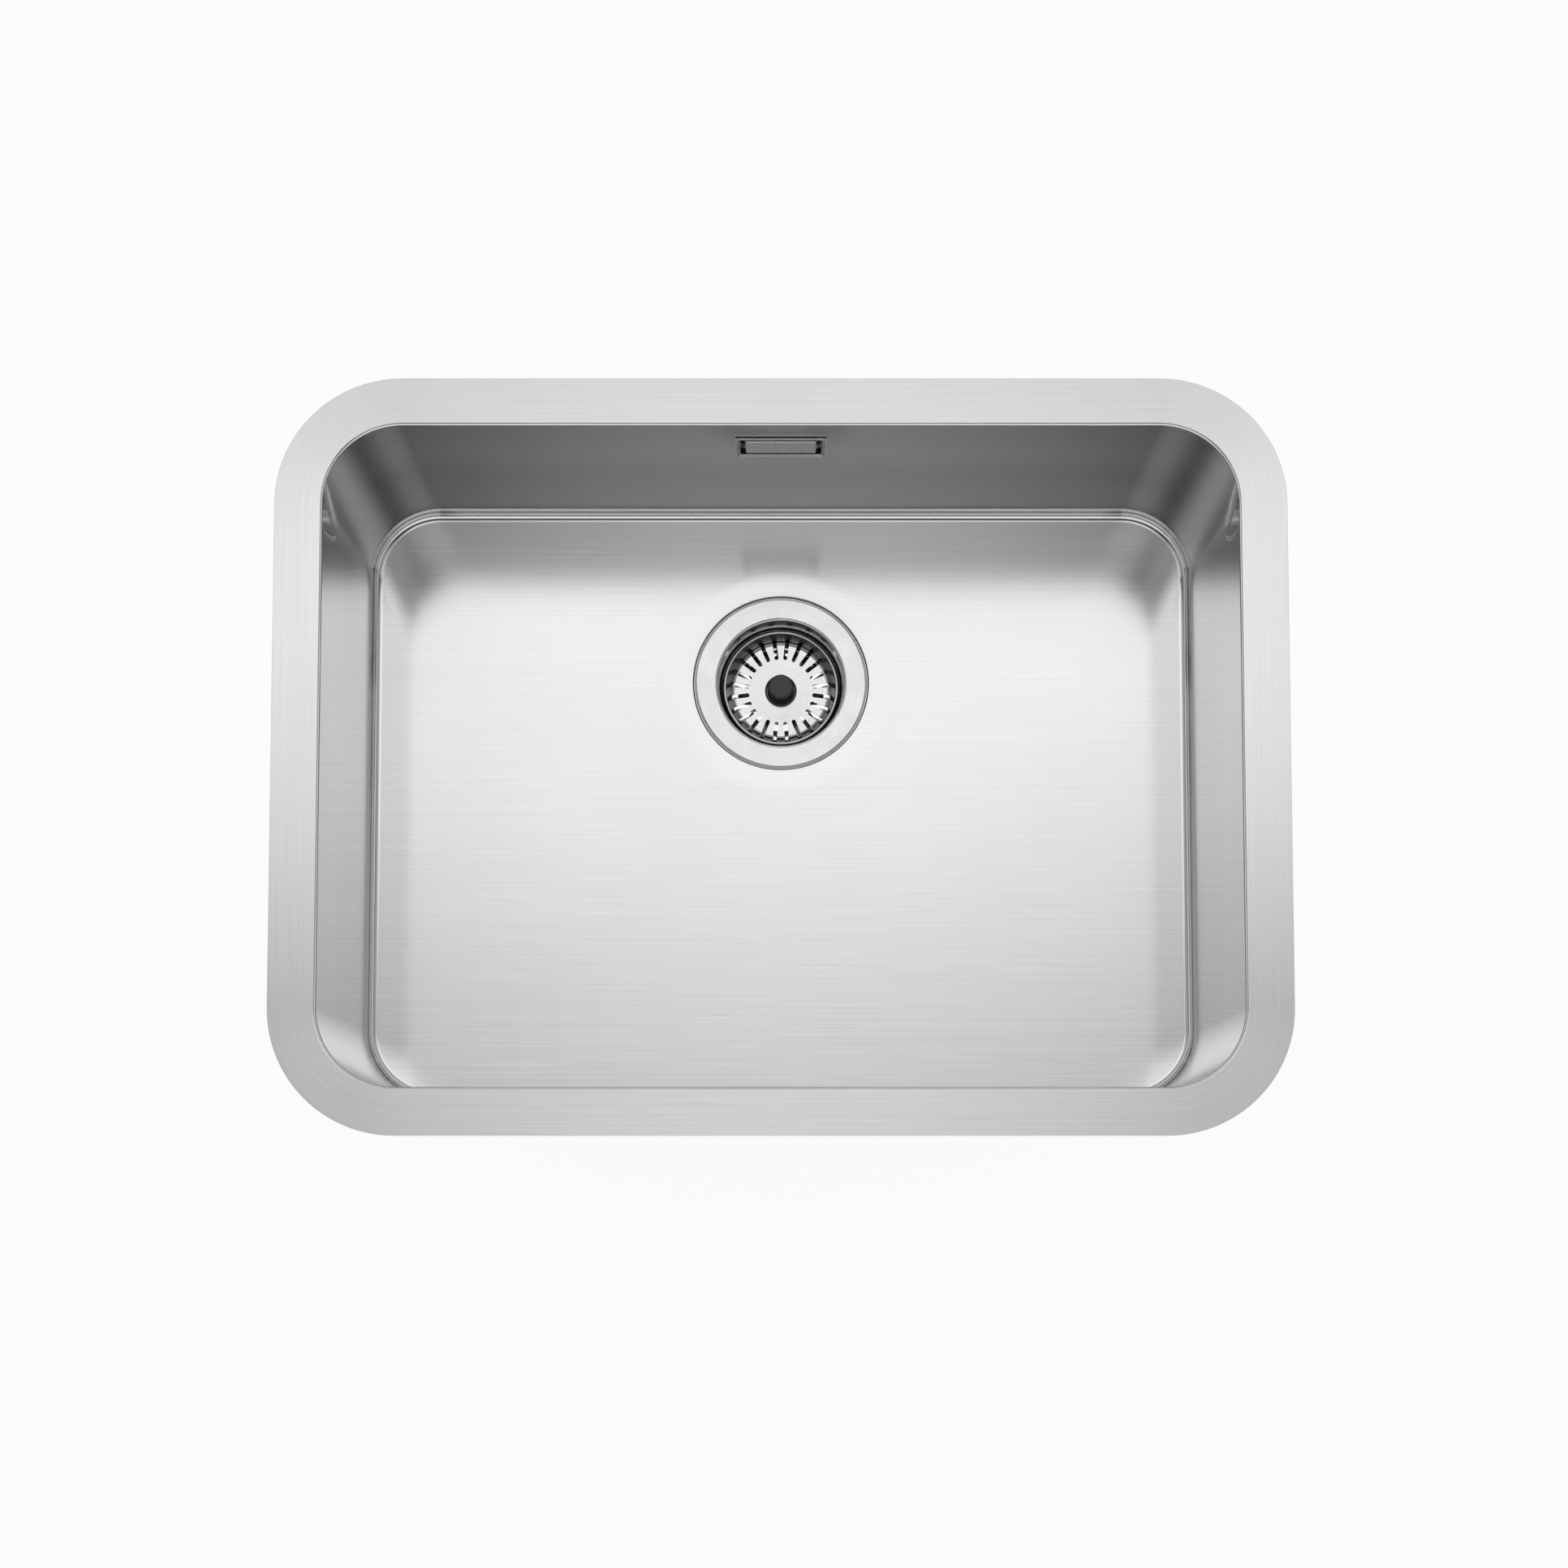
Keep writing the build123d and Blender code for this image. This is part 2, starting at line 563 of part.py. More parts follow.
def basket_knob():
    bottom = -DIP_Z
    top = bottom + KNOB_HEIGHT
    neck_top = (KNOB_HEAD_R - KNOB_EDGE_R, top - KNOB_HEAD_T)
    waist = (KNOB_WAIST_R, (bottom + top) / 2)
    skirt_top = (KNOB_BASE_R, bottom + KNOB_BASE_T)
    with BuildPart() as knob:
        with BuildSketch(Plane.XZ):
            with BuildLine():
                Line((0, bottom), (KNOB_BASE_R, bottom))
                Line((KNOB_BASE_R, bottom), skirt_top)
                Spline(skirt_top, waist, neck_top, tangents=[(-1, 0.5), (1, 0.9)])
                Line(neck_top, (KNOB_HEAD_R, top - KNOB_HEAD_T + KNOB_EDGE_R / 2))
                Line((KNOB_HEAD_R, top - KNOB_HEAD_T + KNOB_EDGE_R / 2), (KNOB_HEAD_R, top - KNOB_EDGE_R))
                RadiusArc((KNOB_HEAD_R, top - KNOB_EDGE_R), (KNOB_HEAD_R - KNOB_EDGE_R, top), -KNOB_EDGE_R)
                Line((KNOB_HEAD_R - KNOB_EDGE_R, top), (0, top))
                Line((0, top), (0, bottom))
            make_face()
        revolve(axis=Axis.Z)
    return knob.part - disc(POST_STUD_R + FIT, bottom + POST_STUD_IN_KNOB + LOOSE, bottom - 1)


# ---------------------------------------------------------------- overflow, in the wall's frame


def overflow_frame():
    funnel_back = -FRAME_PROUD + FRAME_BEVEL_DEPTH
    front = Plane.XZ.offset(FRAME_PROUD) * RectangleRounded(
        THROAT_LENGTH + 2 * FRAME_BEVEL_W, THROAT_HEIGHT + 2 * FRAME_BEVEL_W, FRAME_CORNER_R
    )
    back = Plane.XZ.offset(-funnel_back) * RectangleRounded(THROAT_LENGTH, THROAT_HEIGHT, FRAME_CORNER_R)
    frame = panel(FRAME_LENGTH, FRAME_HEIGHT, FRAME_CORNER_R, -FRAME_PROUD, 0)
    frame += panel(COLLAR_LENGTH, COLLAR_HEIGHT, FRAME_CORNER_R, -FRAME_PROUD / 2, COLLAR_END)
    throat_front = funnel_back - FRAME_BEVEL_DEPTH / 2
    frame -= panel(THROAT_LENGTH, THROAT_HEIGHT, FRAME_CORNER_R, throat_front, COLLAR_END + 1)
    frame -= loft([front, back], ruled=True)
    tab = Pos(OVERFLOW_SCREW_X, COLLAR_END, 0) * Box(
        TAB_W, TAB_T, THROAT_HEIGHT + COLLAR_T, align=(Align.CENTER, Align.MAX, Align.CENTER)
    )
    tab -= along_y(OVERFLOW_SCREW_R + FIT, 0, COLLAR_END + 1, OVERFLOW_SCREW_X)
    return frame + tab + Rot(0, 180, 0) * tab


def overflow_screws():
    seat = COLLAR_END - TAB_T
    front = seat - OVERFLOW_SCREW_HEAD_T
    head = along_y(OVERFLOW_SCREW_HEAD_R, front, seat, OVERFLOW_SCREW_X)
    head = fillet(head.edges().group_by(Axis.Y)[0], OVERFLOW_SCREW_HEAD_T / 2)
    recess = Box(OVERFLOW_SCREW_HEAD_R, OVERFLOW_SCREW_HEAD_T, OVERFLOW_SCREW_R / 3)
    screw = head - Pos(OVERFLOW_SCREW_X, front, 0) * (recess + Rot(0, 90, 0) * recess)
    screw += along_y(OVERFLOW_SCREW_R, seat, seat + OVERFLOW_SCREW_LENGTH, OVERFLOW_SCREW_X)
    return Compound([screw, Rot(0, 180, 0) * screw])


def overflow_cover():
    front = COVER_SET_BACK - FRAME_PROUD
    back = front + COVER_T
    plate = panel(COVER_LENGTH, COVER_HEIGHT, COVER_CORNER_R, front, back + COVER_SKIRT)
    plate = fillet(plate.edges().group_by(Axis.Y)[0], COVER_T * 0.75)
    inner_corner = COVER_CORNER_R / 2
    inner_length = COVER_LENGTH + 2
    inner_height = COVER_HEIGHT - 2 * COVER_T
    return plate - panel(inner_length, inner_height, inner_corner, back, back + COVER_SKIRT + 1)


def overflow_clips():
    """Two bent spring strips on the cover's back, whose legs bow out beside the cover."""
    face_y = COVER_SET_BACK - FRAME_PROUD + COVER_T
    edge = COVER_LENGTH / 2 + CLIP_T
    bow = THROAT_LENGTH / 2 - CLIP_GAP
    with BuildPart() as strip:
        with BuildSketch(Plane.XY):
            with BuildLine():
                Polyline(
                    (edge - CLIP_T - CLIP_FOOT, face_y),
                    (edge, face_y),
                    (edge, face_y + CLIP_REACH / 4),
                    (bow, face_y + CLIP_REACH / 2),
                    (edge, face_y + CLIP_REACH),
                )
                offset(amount=CLIP_T, side=Side.LEFT)
            make_face()
        extrude(amount=CLIP_W / 2, both=True)
    clip = strip.part
    return Compound([clip, Rot(0, 180, 0) * clip])


def overflow_seal():
    face = panel(GASKET_LENGTH, GASKET_HEIGHT, GASKET_CORNER_R, SHEET, HOUSING_FRONT)
    return face - panel(WALL_HOLE_LENGTH, WALL_HOLE_HEIGHT, FRAME_CORNER_R, 0, HOUSING_FRONT + 1)


def overflow_housing():
    box_back = HOUSING_BACK + HOUSING_WALL
    corner = FRAME_CORNER_R + HOUSING_WALL
    box = panel(HOUSING_LENGTH, HOUSING_HEIGHT, corner, HOUSING_FRONT, box_back)
    box = fillet(box.edges().group_by(Axis.Y)[-1], HOUSING_WALL)
    flange_back = HOUSING_FRONT + HOUSING_FLANGE_T
    box += panel(GASKET_LENGTH, GASKET_HEIGHT, GASKET_CORNER_R, HOUSING_FRONT, flange_back)
    floor = -WALL_HOLE_HEIGHT / 2
    spigot_end = -GASKET_HEIGHT / 2 - SPIGOT_LENGTH
    stem = Pos(0, HOSE_Y, 0)
    box += stem * disc(SPIGOT_R, floor, spigot_end)
    box -= panel(WALL_HOLE_LENGTH, WALL_HOLE_HEIGHT, FRAME_CORNER_R, HOUSING_FRONT - 1, HOUSING_BACK)
    box -= stem * disc(SPIGOT_BORE_R, floor + 1, spigot_end - 1)
    boss = along_y(BOSS_R, COLLAR_END + LOOSE, HOUSING_BACK + HOUSING_WALL / 2, OVERFLOW_SCREW_X)
    screw_end = COLLAR_END - TAB_T + OVERFLOW_SCREW_LENGTH
    boss -= along_y(OVERFLOW_SCREW_R + FIT, 0, screw_end + 1, OVERFLOW_SCREW_X)
    return box + boss + Rot(0, 180, 0) * boss


# ---------------------------------------------------------------- hose and clips


def hose_ends():
    """Where the hose starts under the housing, where it turns, and where it ends at the inlet."""
    top = (WALL * Pos(0, HOSE_Y, -HOSE_START)).position
    inlet_y = WASTE_Y + BODY_R + SPIGOT_SHOULDER + LOOSE
    inlet_z = -BOWL_DEPTH - INLET_Z
    turn_y = top.Y - (top.Z - inlet_z) * tan(radians(WALL_DRAFT))
    return top, Vector(0, turn_y, inlet_z), Vector(0, inlet_y, inlet_z)


def overflow_hose():
    top, corner, inlet = hose_ends()
    route = FilletPolyline(top, corner, inlet, radius=HOSE_BEND_R)
    print("hose route", round(route.length, 1), "mm, bend radius", HOSE_BEND_R)
    ribbed = route.length - 2 * HOSE_CUFF_LENGTH
    ribs = round(ribbed / HOSE_RIB_PITCH)
    pitch = ribbed / ribs
    circles = [hose_circle(route, HOSE_CUFF_LENGTH - pitch / 8, HOSE_ROOT_R)]
    for rib in range(ribs):
        start = HOSE_CUFF_LENGTH + pitch * rib
        for share, radius in ((1, HOSE_ROOT_R), (3, HOSE_CREST_R), (5, HOSE_CREST_R), (7, HOSE_ROOT_R)):
            circles.append(hose_circle(route, start + pitch * share / 8, radius))
    circles.append(hose_circle(route, HOSE_CUFF_LENGTH + ribbed + pitch / 8, HOSE_ROOT_R))
    hose = loft(circles, ruled=True)
    for end in (0, 1):
        hose += cuff(route, end, HOSE_CUFF_R, HOSE_CUFF_LENGTH)
    hose -= sweep(hose_circle(route, 0, HOSE_BORE_R), path=route)
    for end in (0, 1):
        hose -= cuff(route, end, CUFF_BORE_R, SPIGOT_LENGTH + LOOSE)
    return hose


def hose_circle(route, distance, radius):
    """A disc across the hose's route, with its X axis kept along the sink."""
    share = distance / route.length
    across = Plane(origin=route @ share, x_dir=(1, 0, 0), z_dir=route % share)
    return across * Circle(radius)


def cuff(route, end, radius, length):
    """A straight plug at one end of the route, from its mouth inwards."""
    inwards = (route % end) * (1 - 2 * end)
    mouth = Plane(origin=route @ end, x_dir=(1, 0, 0), z_dir=inwards)
    return extrude(mouth * Circle(radius), length)


def hose_clip():
    """A worm-drive band round the Z axis, with its screw housing on the +X side."""
    band = ring(HOSE_CUFF_R + FIT + BAND_T, HOSE_CUFF_R + FIT, BAND_W / 2, -BAND_W / 2)
    lug = Pos(HOSE_CUFF_R + FIT, 0, 0) * Box(
        LUG_HEIGHT, LUG_LENGTH, BAND_W, align=(Align.MIN, Align.CENTER, Align.CENTER)
    )
    lug = fillet(lug.edges().filter_by(Axis.Y).group_by(Axis.X)[-1], BAND_W / 3)
    lug -= disc(HOSE_CUFF_R + FIT, BAND_W, -BAND_W)
    return band + lug - along_y(WORM_R + FIT, -LUG_LENGTH, LUG_LENGTH, worm_x())


def worm_x():
    return HOSE_CUFF_R + BAND_T + WORM_R + 1


def clip_screw():
    start = -LUG_LENGTH / 2 - WORM_HEAD_T
    worm = along_y(WORM_R, start, start + WORM_LENGTH, worm_x())
    head = along_y(WORM_HEAD_R, start, start + WORM_HEAD_T - FIT, worm_x())
    slot = Pos(worm_x(), start, 0) * Box(2 * WORM_HEAD_R, WORM_HEAD_T / 2, WORM_R / 3)
    return worm + head - slot


def clip_places():
    """Where the two clips sit: on the cuff under the housing and on the cuff at the inlet."""
    top, corner, inlet = hose_ends()
    upper = WALL * Pos(0, HOSE_Y, -HOSE_START - BAND_PLACE)
    lower = Location((0, inlet.Y + BAND_PLACE, inlet.Z), (-90, 0, 0))
    return upper, lower


# ---------------------------------------------------------------- all the pieces


def nodes():
    pieces = {"bowl_shell": bowl_shell()}
    pieces.update(base_pads())
    in_waste = [
        strainer_cup, upper_seal, lower_seal, waste_body, screw_insert, screw_washer, waste_screw,
        post_catch, catch_ring, basket, basket_seal, basket_post, basket_nut, basket_knob,
    ]
    for make in in_waste:
        pieces[make.__name__] = WASTE * make()
    in_wall = [
        overflow_frame, overflow_screws, overflow_cover, overflow_clips, overflow_seal, overflow_housing,
    ]
    for make in in_wall:
        pieces[make.__name__] = WALL * make()
    pieces["overflow_hose"] = overflow_hose()
    upper, lower = clip_places()
    pieces["hose_clip_upper"] = upper * hose_clip()
    pieces["hose_clip_lower"] = lower * hose_clip()
    pieces["clip_screws"] = Compound([upper * clip_screw(), lower * clip_screw()])
    return pieces


os.makedirs("parts", exist_ok=True)
for name, piece in nodes().items():
    export_step(piece, f"parts/{name}.step")
    print(name, "valid" if piece.is_valid else "NOT VALID", round(piece.volume, 1))
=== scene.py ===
import math

import bmesh
import bpy
import numpy as np
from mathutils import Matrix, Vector


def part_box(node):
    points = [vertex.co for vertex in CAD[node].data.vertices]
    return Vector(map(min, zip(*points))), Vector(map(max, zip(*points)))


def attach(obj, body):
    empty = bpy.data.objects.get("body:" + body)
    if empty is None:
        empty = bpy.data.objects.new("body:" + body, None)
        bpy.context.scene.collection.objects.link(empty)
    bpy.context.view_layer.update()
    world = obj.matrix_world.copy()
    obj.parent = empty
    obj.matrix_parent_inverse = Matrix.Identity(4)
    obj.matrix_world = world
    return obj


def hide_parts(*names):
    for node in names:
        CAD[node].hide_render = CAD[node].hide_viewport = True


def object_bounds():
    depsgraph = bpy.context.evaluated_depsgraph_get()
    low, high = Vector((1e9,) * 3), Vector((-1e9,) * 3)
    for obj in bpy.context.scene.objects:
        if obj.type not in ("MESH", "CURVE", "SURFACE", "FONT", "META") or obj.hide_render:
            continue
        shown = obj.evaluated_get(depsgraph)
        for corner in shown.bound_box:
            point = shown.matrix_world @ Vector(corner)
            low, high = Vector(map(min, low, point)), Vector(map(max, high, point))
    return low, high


# Undermount kitchen sink: the looks of a pressed steel bowl with its basket strainer and rear overflow.
# Metres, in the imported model's frame: X along the sink, Y from front to rear, Z up, and the origin in the
# middle of the bowl's mouth, level with the flange's top face.

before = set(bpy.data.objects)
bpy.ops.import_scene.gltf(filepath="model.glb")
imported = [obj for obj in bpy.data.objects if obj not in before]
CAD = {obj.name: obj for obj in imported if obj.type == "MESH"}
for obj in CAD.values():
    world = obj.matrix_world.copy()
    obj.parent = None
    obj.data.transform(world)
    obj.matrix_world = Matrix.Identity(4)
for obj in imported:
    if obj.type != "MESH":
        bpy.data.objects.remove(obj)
CAD_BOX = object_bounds()

# Bowl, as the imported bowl_shell has it
MOUTH_LENGTH = 0.547
MOUTH_WIDTH = 0.397
MOUTH_CORNER_R = 0.0485
FLANGE_WIDTH = 0.0265
BOWL_DEPTH = 0.190
SHEET = 0.001
DRAFT = math.radians(0.5)
RIM_R = 0.002
EDGE_R = 0.0002
WASTE_Y = 0.081
WASTE_HOLE_R = 0.045
DISH_DEPTH = 0.0022
HOLE_LENGTH = 0.0512
HOLE_TOP = -0.02545
HOLE_BOTTOM = -0.05695
OUTLET_END = -0.2888

# Bowl, as the photograph has it: the wall's foot leans in, and the floor's bend and the seat's step are tight
LEAN_START = -0.059
LEAN_BLEND = 0.034
FOOT_DRAFT = math.radians(0.9)
FLOOR_BEND_R = 0.0052
DISH_R = 0.075
SAG = 0.0004
STEP_R = 0.0584
SEAT_R = 0.0573

# How finely the bowl's mesh and the basket's rim are cut
RIM_STEPS = 12
BEND_STEPS = 16
CORNER_STEPS = 32
EDGE_STEPS = 8
DISH_STEPS = 12
AROUND = 144
BEAD_STEPS = 14
TOLERANCE = 1e-6

# Basket, with heights from its rim's top down
BASKET_SHEET = 0.0007
BASKET_RIM_R = 0.0381
BASKET_BEAD_R = 0.0008
BASKET_WALL_R = 0.03685
BASKET_DEPTH = 0.0107
BASKET_FLOOR_R = 0.0326
BASKET_DIP_R = 0.0101
BASKET_DIP = 0.004
BASKET_DOME = 0.00015
BASKET_BENDS = (0.003, 0.002, 0.0007, 0.0003)
POST_SEAT_R = 0.0096
POST_HOLE_R = 0.00255
SLOTS = 24
SLOT_WIDTH = 0.0028
SLOT_INNER_R = 0.0212
SLOT_RISE = 0.0040
SLOT_COLUMNS = (-1.0, -0.88, -0.5, 0.0, 0.5, 0.88, 1.0)
BAR_COLUMNS = (0.25, 0.5, 0.75)
SHARP_FROM = math.radians(40)

# Finish of the steel, and the hooked creases at the bowl's rear corners
FLOOR_ROUGHNESS = 0.15
WALL_ROUGHNESS = 0.11
FLANGE_ROUGHNESS = 0.21
CUP_MOUTH_R = 0.0405
CREASE_DEPTH = 0.048
CREASE_START_Y = 0.160
CREASE_TURN_Y = 0.142
CREASE_END_Y = 0.134
CREASE_HALF_WIDTH = 0.0016
CREASE_RELIEF = 0.00018

# The photograph's camera, and the floor under the sink
SENSOR = 36.0
LENS = 61.17
LENS_SHIFT = (0.002, 0.150)
CAMERA_PLACE = (0.0, -0.279, 1.549)
CAMERA_TILT = math.radians(4.5)
FLOOR_REACH = 12.0
FLOOR_GAP = 0.0005
FLOOR_GLOW = 1.06
FLOOR_SHARE = 0.85

# Soft patches of the light overhead: centre, half width and half length in degrees, and strength
REAR_BOX = (12.8, 28.5, 12.6, 0.98)
FRONT_BOX = (-9.7, 15.2, 13.6, 0.91)
FRONT_CARD = (-23.0, 60.0, 21.5, 0.68)

# The overflow hose's route: straight down behind the wall, round a bend and forwards into the waste
HOSE_TOP = (0.0, 0.2102, -0.062)
HOSE_CORNER = (0.0, 0.20876, -0.227)
HOSE_INLET = (0.0, 0.1292, -0.227)
CLIP_UPPER = (0.0, 0.2101, -0.0731)
CLIP_LOWER = (0.0, 0.1402, -0.227)
CLIP_RADIUS = 0.01195

WASTE = Vector((0, WASTE_Y, -BOWL_DEPTH))


# ---------------------------------------------------------------- finishes


class Nodes:
    """A shader tree, with short calls that add its nodes and join them."""

    def __init__(self, tree):
        self.tree = tree

    def feed(self, socket, value):
        if isinstance(value, bpy.types.NodeSocket):
            self.tree.links.new(value, socket)
        elif value is not None:
            socket.default_value = value

    def add(self, kind, *values, **settings):
        node = self.tree.nodes.new(kind)
        for key, value in settings.items():
            setattr(node, key, value)
        for socket, value in zip(node.inputs, values):
            self.feed(socket, value)
        return node

    def maths(self, operation, *values):
        return self.add("ShaderNodeMath", *values, operation=operation).outputs[0]

    def split(self, coordinates):
        return self.add("ShaderNodeSeparateXYZ", coordinates).outputs

    def span(self, value, low, high, start=0.0, end=1.0, smooth=False):
        """Maps a value from low..high to start..end, and holds it there beyond."""
        kind = "SMOOTHSTEP" if smooth else "LINEAR"
        node = self.add("ShaderNodeMapRange", value, low, high, start, end, interpolation_type=kind)
        return node.outputs[0]

    def sum(self, *values):
        total = values[0]
        for value in values[1:]:
            total = self.maths("ADD", total, value)
        return total

    def product(self, *values):
        total = values[0]
        for value in values[1:]:
            total = self.maths("MULTIPLY", total, value)
        return total


class Finish(Nodes):
    """One material. Its sockets take a value, or what the nodes give."""

    def __init__(self, name, colour, metallic=0.0, roughness=0.5, **sockets):
        self.material = bpy.data.materials.new(name)
        self.material.use_nodes = True
        super().__init__(self.material.node_tree)
        self.shader = next(n for n in self.tree.nodes if n.type == "BSDF_PRINCIPLED")
        self.set("Base Color", (*colour, 1.0))
        self.set("Metallic", metallic)
        self.set("Roughness", roughness)
        for socket, value in sockets.items():
            self.set(socket.replace("_", " "), value)

    def set(self, socket, value):
        """Gives a socket of the shader a value or a link."""
        self.feed(self.shader.inputs[socket], value)

    def place(self):
        """The piece's own coordinates, in metres."""
        return self.add("ShaderNodeTexCoord").outputs["Object"]

    def uv(self, layer):
        return self.add("ShaderNodeUVMap", uv_map=layer).outputs["UV"]

    def stretch(self, coordinates, scale, move=(0, 0, 0)):
        node = self.add("ShaderNodeMapping")
        self.feed(node.inputs["Vector"], coordinates)
        node.inputs["Location"].default_value = move
        node.inputs["Scale"].default_value = scale
        return node.outputs[0]

    def noise(self, coordinates, detail=2.0, rough=0.5, scale=1.0):
        node = self.add("ShaderNodeTexNoise")
        self.feed(node.inputs["Vector"], coordinates)
        node.inputs["Scale"].default_value = scale
        node.inputs["Detail"].default_value = detail
        node.inputs["Roughness"].default_value = rough
        return node.outputs["Fac"]

    def tint(self, amount, dark, light):
        """A colour between two. On a colour mix, sockets 6 and 7 take them, and output 2 gives the colour."""
        node = self.add("ShaderNodeMix", data_type="RGBA")
        self.feed(node.inputs["Factor"], amount)
        self.feed(node.inputs[6], (*dark, 1.0))
        self.feed(node.inputs[7], (*light, 1.0))
        return node.outputs[2]

    def bump(self, height, depth, under=None):
        """Relief of a depth in metres, laid over the relief under it."""
        node = self.add("ShaderNodeBump")
        node.inputs["Strength"].default_value = 1.0
        node.inputs["Distance"].default_value = depth
        self.feed(node.inputs["Height"], height)
        self.feed(node.inputs["Normal"], under)
        return node.outputs[0]

    def turned_coordinates(self, centre):
        """Radius, angle and height about an upright axis through centre."""
        x, y, height = self.split(self.stretch(self.place(), (1, 1, 1), tuple(-c for c in centre)))
        radius = self.maths("SQRT", self.sum(self.product(x, x), self.product(y, y)))
        return radius, self.maths("ARCTAN2", y, x), height

    def join(self, *parts):
        return self.add("ShaderNodeCombineXYZ", *parts).outputs[0]


def shaded(colour, share):
    """A colour made darker or lighter, but no lighter than white."""
    return tuple(min(1.0, c * share) for c in colour)


def brushed_sheet():
    """Brushed sheet: the grain follows the flange and the walls, and runs along the sink on the floor."""
    f = Finish("brushed_sheet", (0.70, 0.70, 0.71), 1.0, 0.2, Anisotropic=0.8, Anisotropic_Rotation=0.25)
    grain = f.uv("grain")
    f.set("Tangent", f.add("ShaderNodeTangent", direction_type="UV_MAP", uv_map="grain").outputs[0])
    fine = f.noise(f.stretch(grain, (14, 1700, 1)), 3.0, 0.6)
    long_lines = f.noise(f.stretch(grain, (2.6, 640, 1), (3.1, 7.7, 0)), 3.0, 0.6)
    cloud = f.noise(f.place(), 3.0, 0.5, 9.0)
    lines = f.sum(f.product(fine, 0.6), f.product(long_lines, 0.4))
    f.set("Base Color", f.tint(f.span(lines, 0.36, 0.64), (0.67, 0.67, 0.68), (0.74, 0.74, 0.75)))
    height = f.split(f.place())[2]
    on_floor = f.span(height, 0.004 - BOWL_DEPTH, 0.001 - BOWL_DEPTH, 0.0, FLOOR_ROUGHNESS - WALL_ROUGHNESS)
    on_flange = f.span(height, -0.0012, -0.0002, 0.0, FLANGE_ROUGHNESS - WALL_ROUGHNESS)
    worn = f.sum(f.product(f.sum(lines, -0.5), 0.05), f.product(f.sum(cloud, -0.5), 0.04))
    f.set("Roughness", f.sum(WALL_ROUGHNESS, on_floor, on_flange, worn))
    relief = f.bump(fine, 0.0000005)
    relief = f.bump(long_lines, 0.0000005, relief)
    relief = f.bump(polishing_arcs(f), 0.0000012, relief)
    f.set("Normal", f.bump(drawing_creases(f), CREASE_RELIEF, relief))
    return f.material


def polishing_arcs(f):
    """Faint arcs round the waste, left by the last pass of the floor's brushing."""
    radius, turn = f.turned_coordinates(WASTE)[:2]
    arcs = f.noise(f.join(f.product(radius, 700.0), f.product(turn, 2.0), 0.0), 2.0, 0.5)
    return f.product(arcs, f.span(radius, 0.062, 0.125, 1.0, 0.0))


def drawing_creases(f):
    """The small hooked creases that drawing leaves under the rim, where a side wall meets the rear corner."""
    x, y, z = f.split(f.place())
    depth = f.maths("DIVIDE", z, -CREASE_DEPTH)
    below_rim = f.maths("MAXIMUM", depth, 0.0)

    def from_line(start, power):
        """How far a point is from the line that runs down from start and ends at the hook's turn."""
        line = f.maths("MULTIPLY_ADD", f.maths("POWER", below_rim, power), CREASE_TURN_Y - start, start)
        return f.maths("ABSOLUTE", f.maths("SUBTRACT", y, line))

    nearest = f.maths("MINIMUM", from_line(CREASE_START_Y, 0.7), from_line(CREASE_END_Y, 3.0))
    ridge = f.span(nearest, 0.0, CREASE_HALF_WIDTH, 1.0, 0.0, smooth=True)
    on_wall = f.product(f.span(depth, 0.05, 0.15), f.span(depth, 1.0, 0.93))
    on_side = f.maths("GREATER_THAN", f.maths("ABSOLUTE", x), MOUTH_LENGTH / 2 - 0.008)
    return f.product(on_wall, on_side, ridge)


def mill_steel():
    """The sheet's back as it leaves the press: dull, with rolling lines and the rub marks of the die."""
    f = Finish("mill_steel", (0.60, 0.60, 0.61), 1.0, 0.4)
    rolled = f.noise(f.stretch(f.uv("grain"), (4, 260, 1)), 4.0, 0.6)
    rubbed = f.noise(f.stretch(f.uv("grain"), (160, 9, 1), (4.2, 1.3, 0)), 3.0, 0.6)
    cloud = f.noise(f.place(), 3.0, 0.55, 7.0)
    shade = f.sum(f.product(rolled, 0.75), f.product(rubbed, 0.25))
    f.set("Base Color", f.tint(shade, (0.50, 0.50, 0.51), (0.66, 0.66, 0.67)))
    f.set("Roughness", f.sum(f.product(shade, 0.16), f.product(cloud, 0.16), 0.24))
    f.set("Normal", f.bump(rolled, 0.000005, f.bump(rubbed, 0.0000015)))
    return f.material


def turned_steel(name, shade, rough, flange_rough, relief):
    """Polished steel with faint rings from the lathe. The strainer's flange has a roughness of its own."""
    f = Finish(name, (shade, shade, shade), 1.0, rough)
    radius, turn, height = f.turned_coordinates(WASTE)
    rings = f.join(f.product(radius, 2600.0), f.product(turn, 1.5), f.product(height, 2600.0))
    fine = f.noise(rings, 2.0, 0.6)
    cloud = f.noise(f.place(), 3.0, 0.5, 60.0)
    f.set("Base Color", f.tint(f.span(fine, 0.36, 0.64), (shade - 0.03,) * 3, (shade + 0.03,) * 3))
    level = f.span(radius, CUP_MOUTH_R, CUP_MOUTH_R + 0.002, rough, flange_rough)
    f.set("Roughness", f.product(level, f.span(cloud, 0.3, 0.7, 0.93, 1.07)))
    f.set("Normal", f.bump(fine, relief))
    return f.material


def plain_steel(name, colour, rough, grain_axis=(40, 40, 40)):
    """Rolled or plated metal with short streaks."""
    f = Finish(name, colour, 1.0, rough)
    streaks = f.noise(f.stretch(f.place(), grain_axis), 3.0, 0.6)
    cloud = f.noise(f.place(), 3.0, 0.5, 90.0)
    f.set("Base Color", f.tint(streaks, shaded(colour, 0.9), shaded(colour, 1.08)))
    f.set("Roughness", f.sum(f.product(cloud, rough * 0.6), rough * 0.7))
    f.set("Normal", f.bump(streaks, 0.000003))
    return f.material


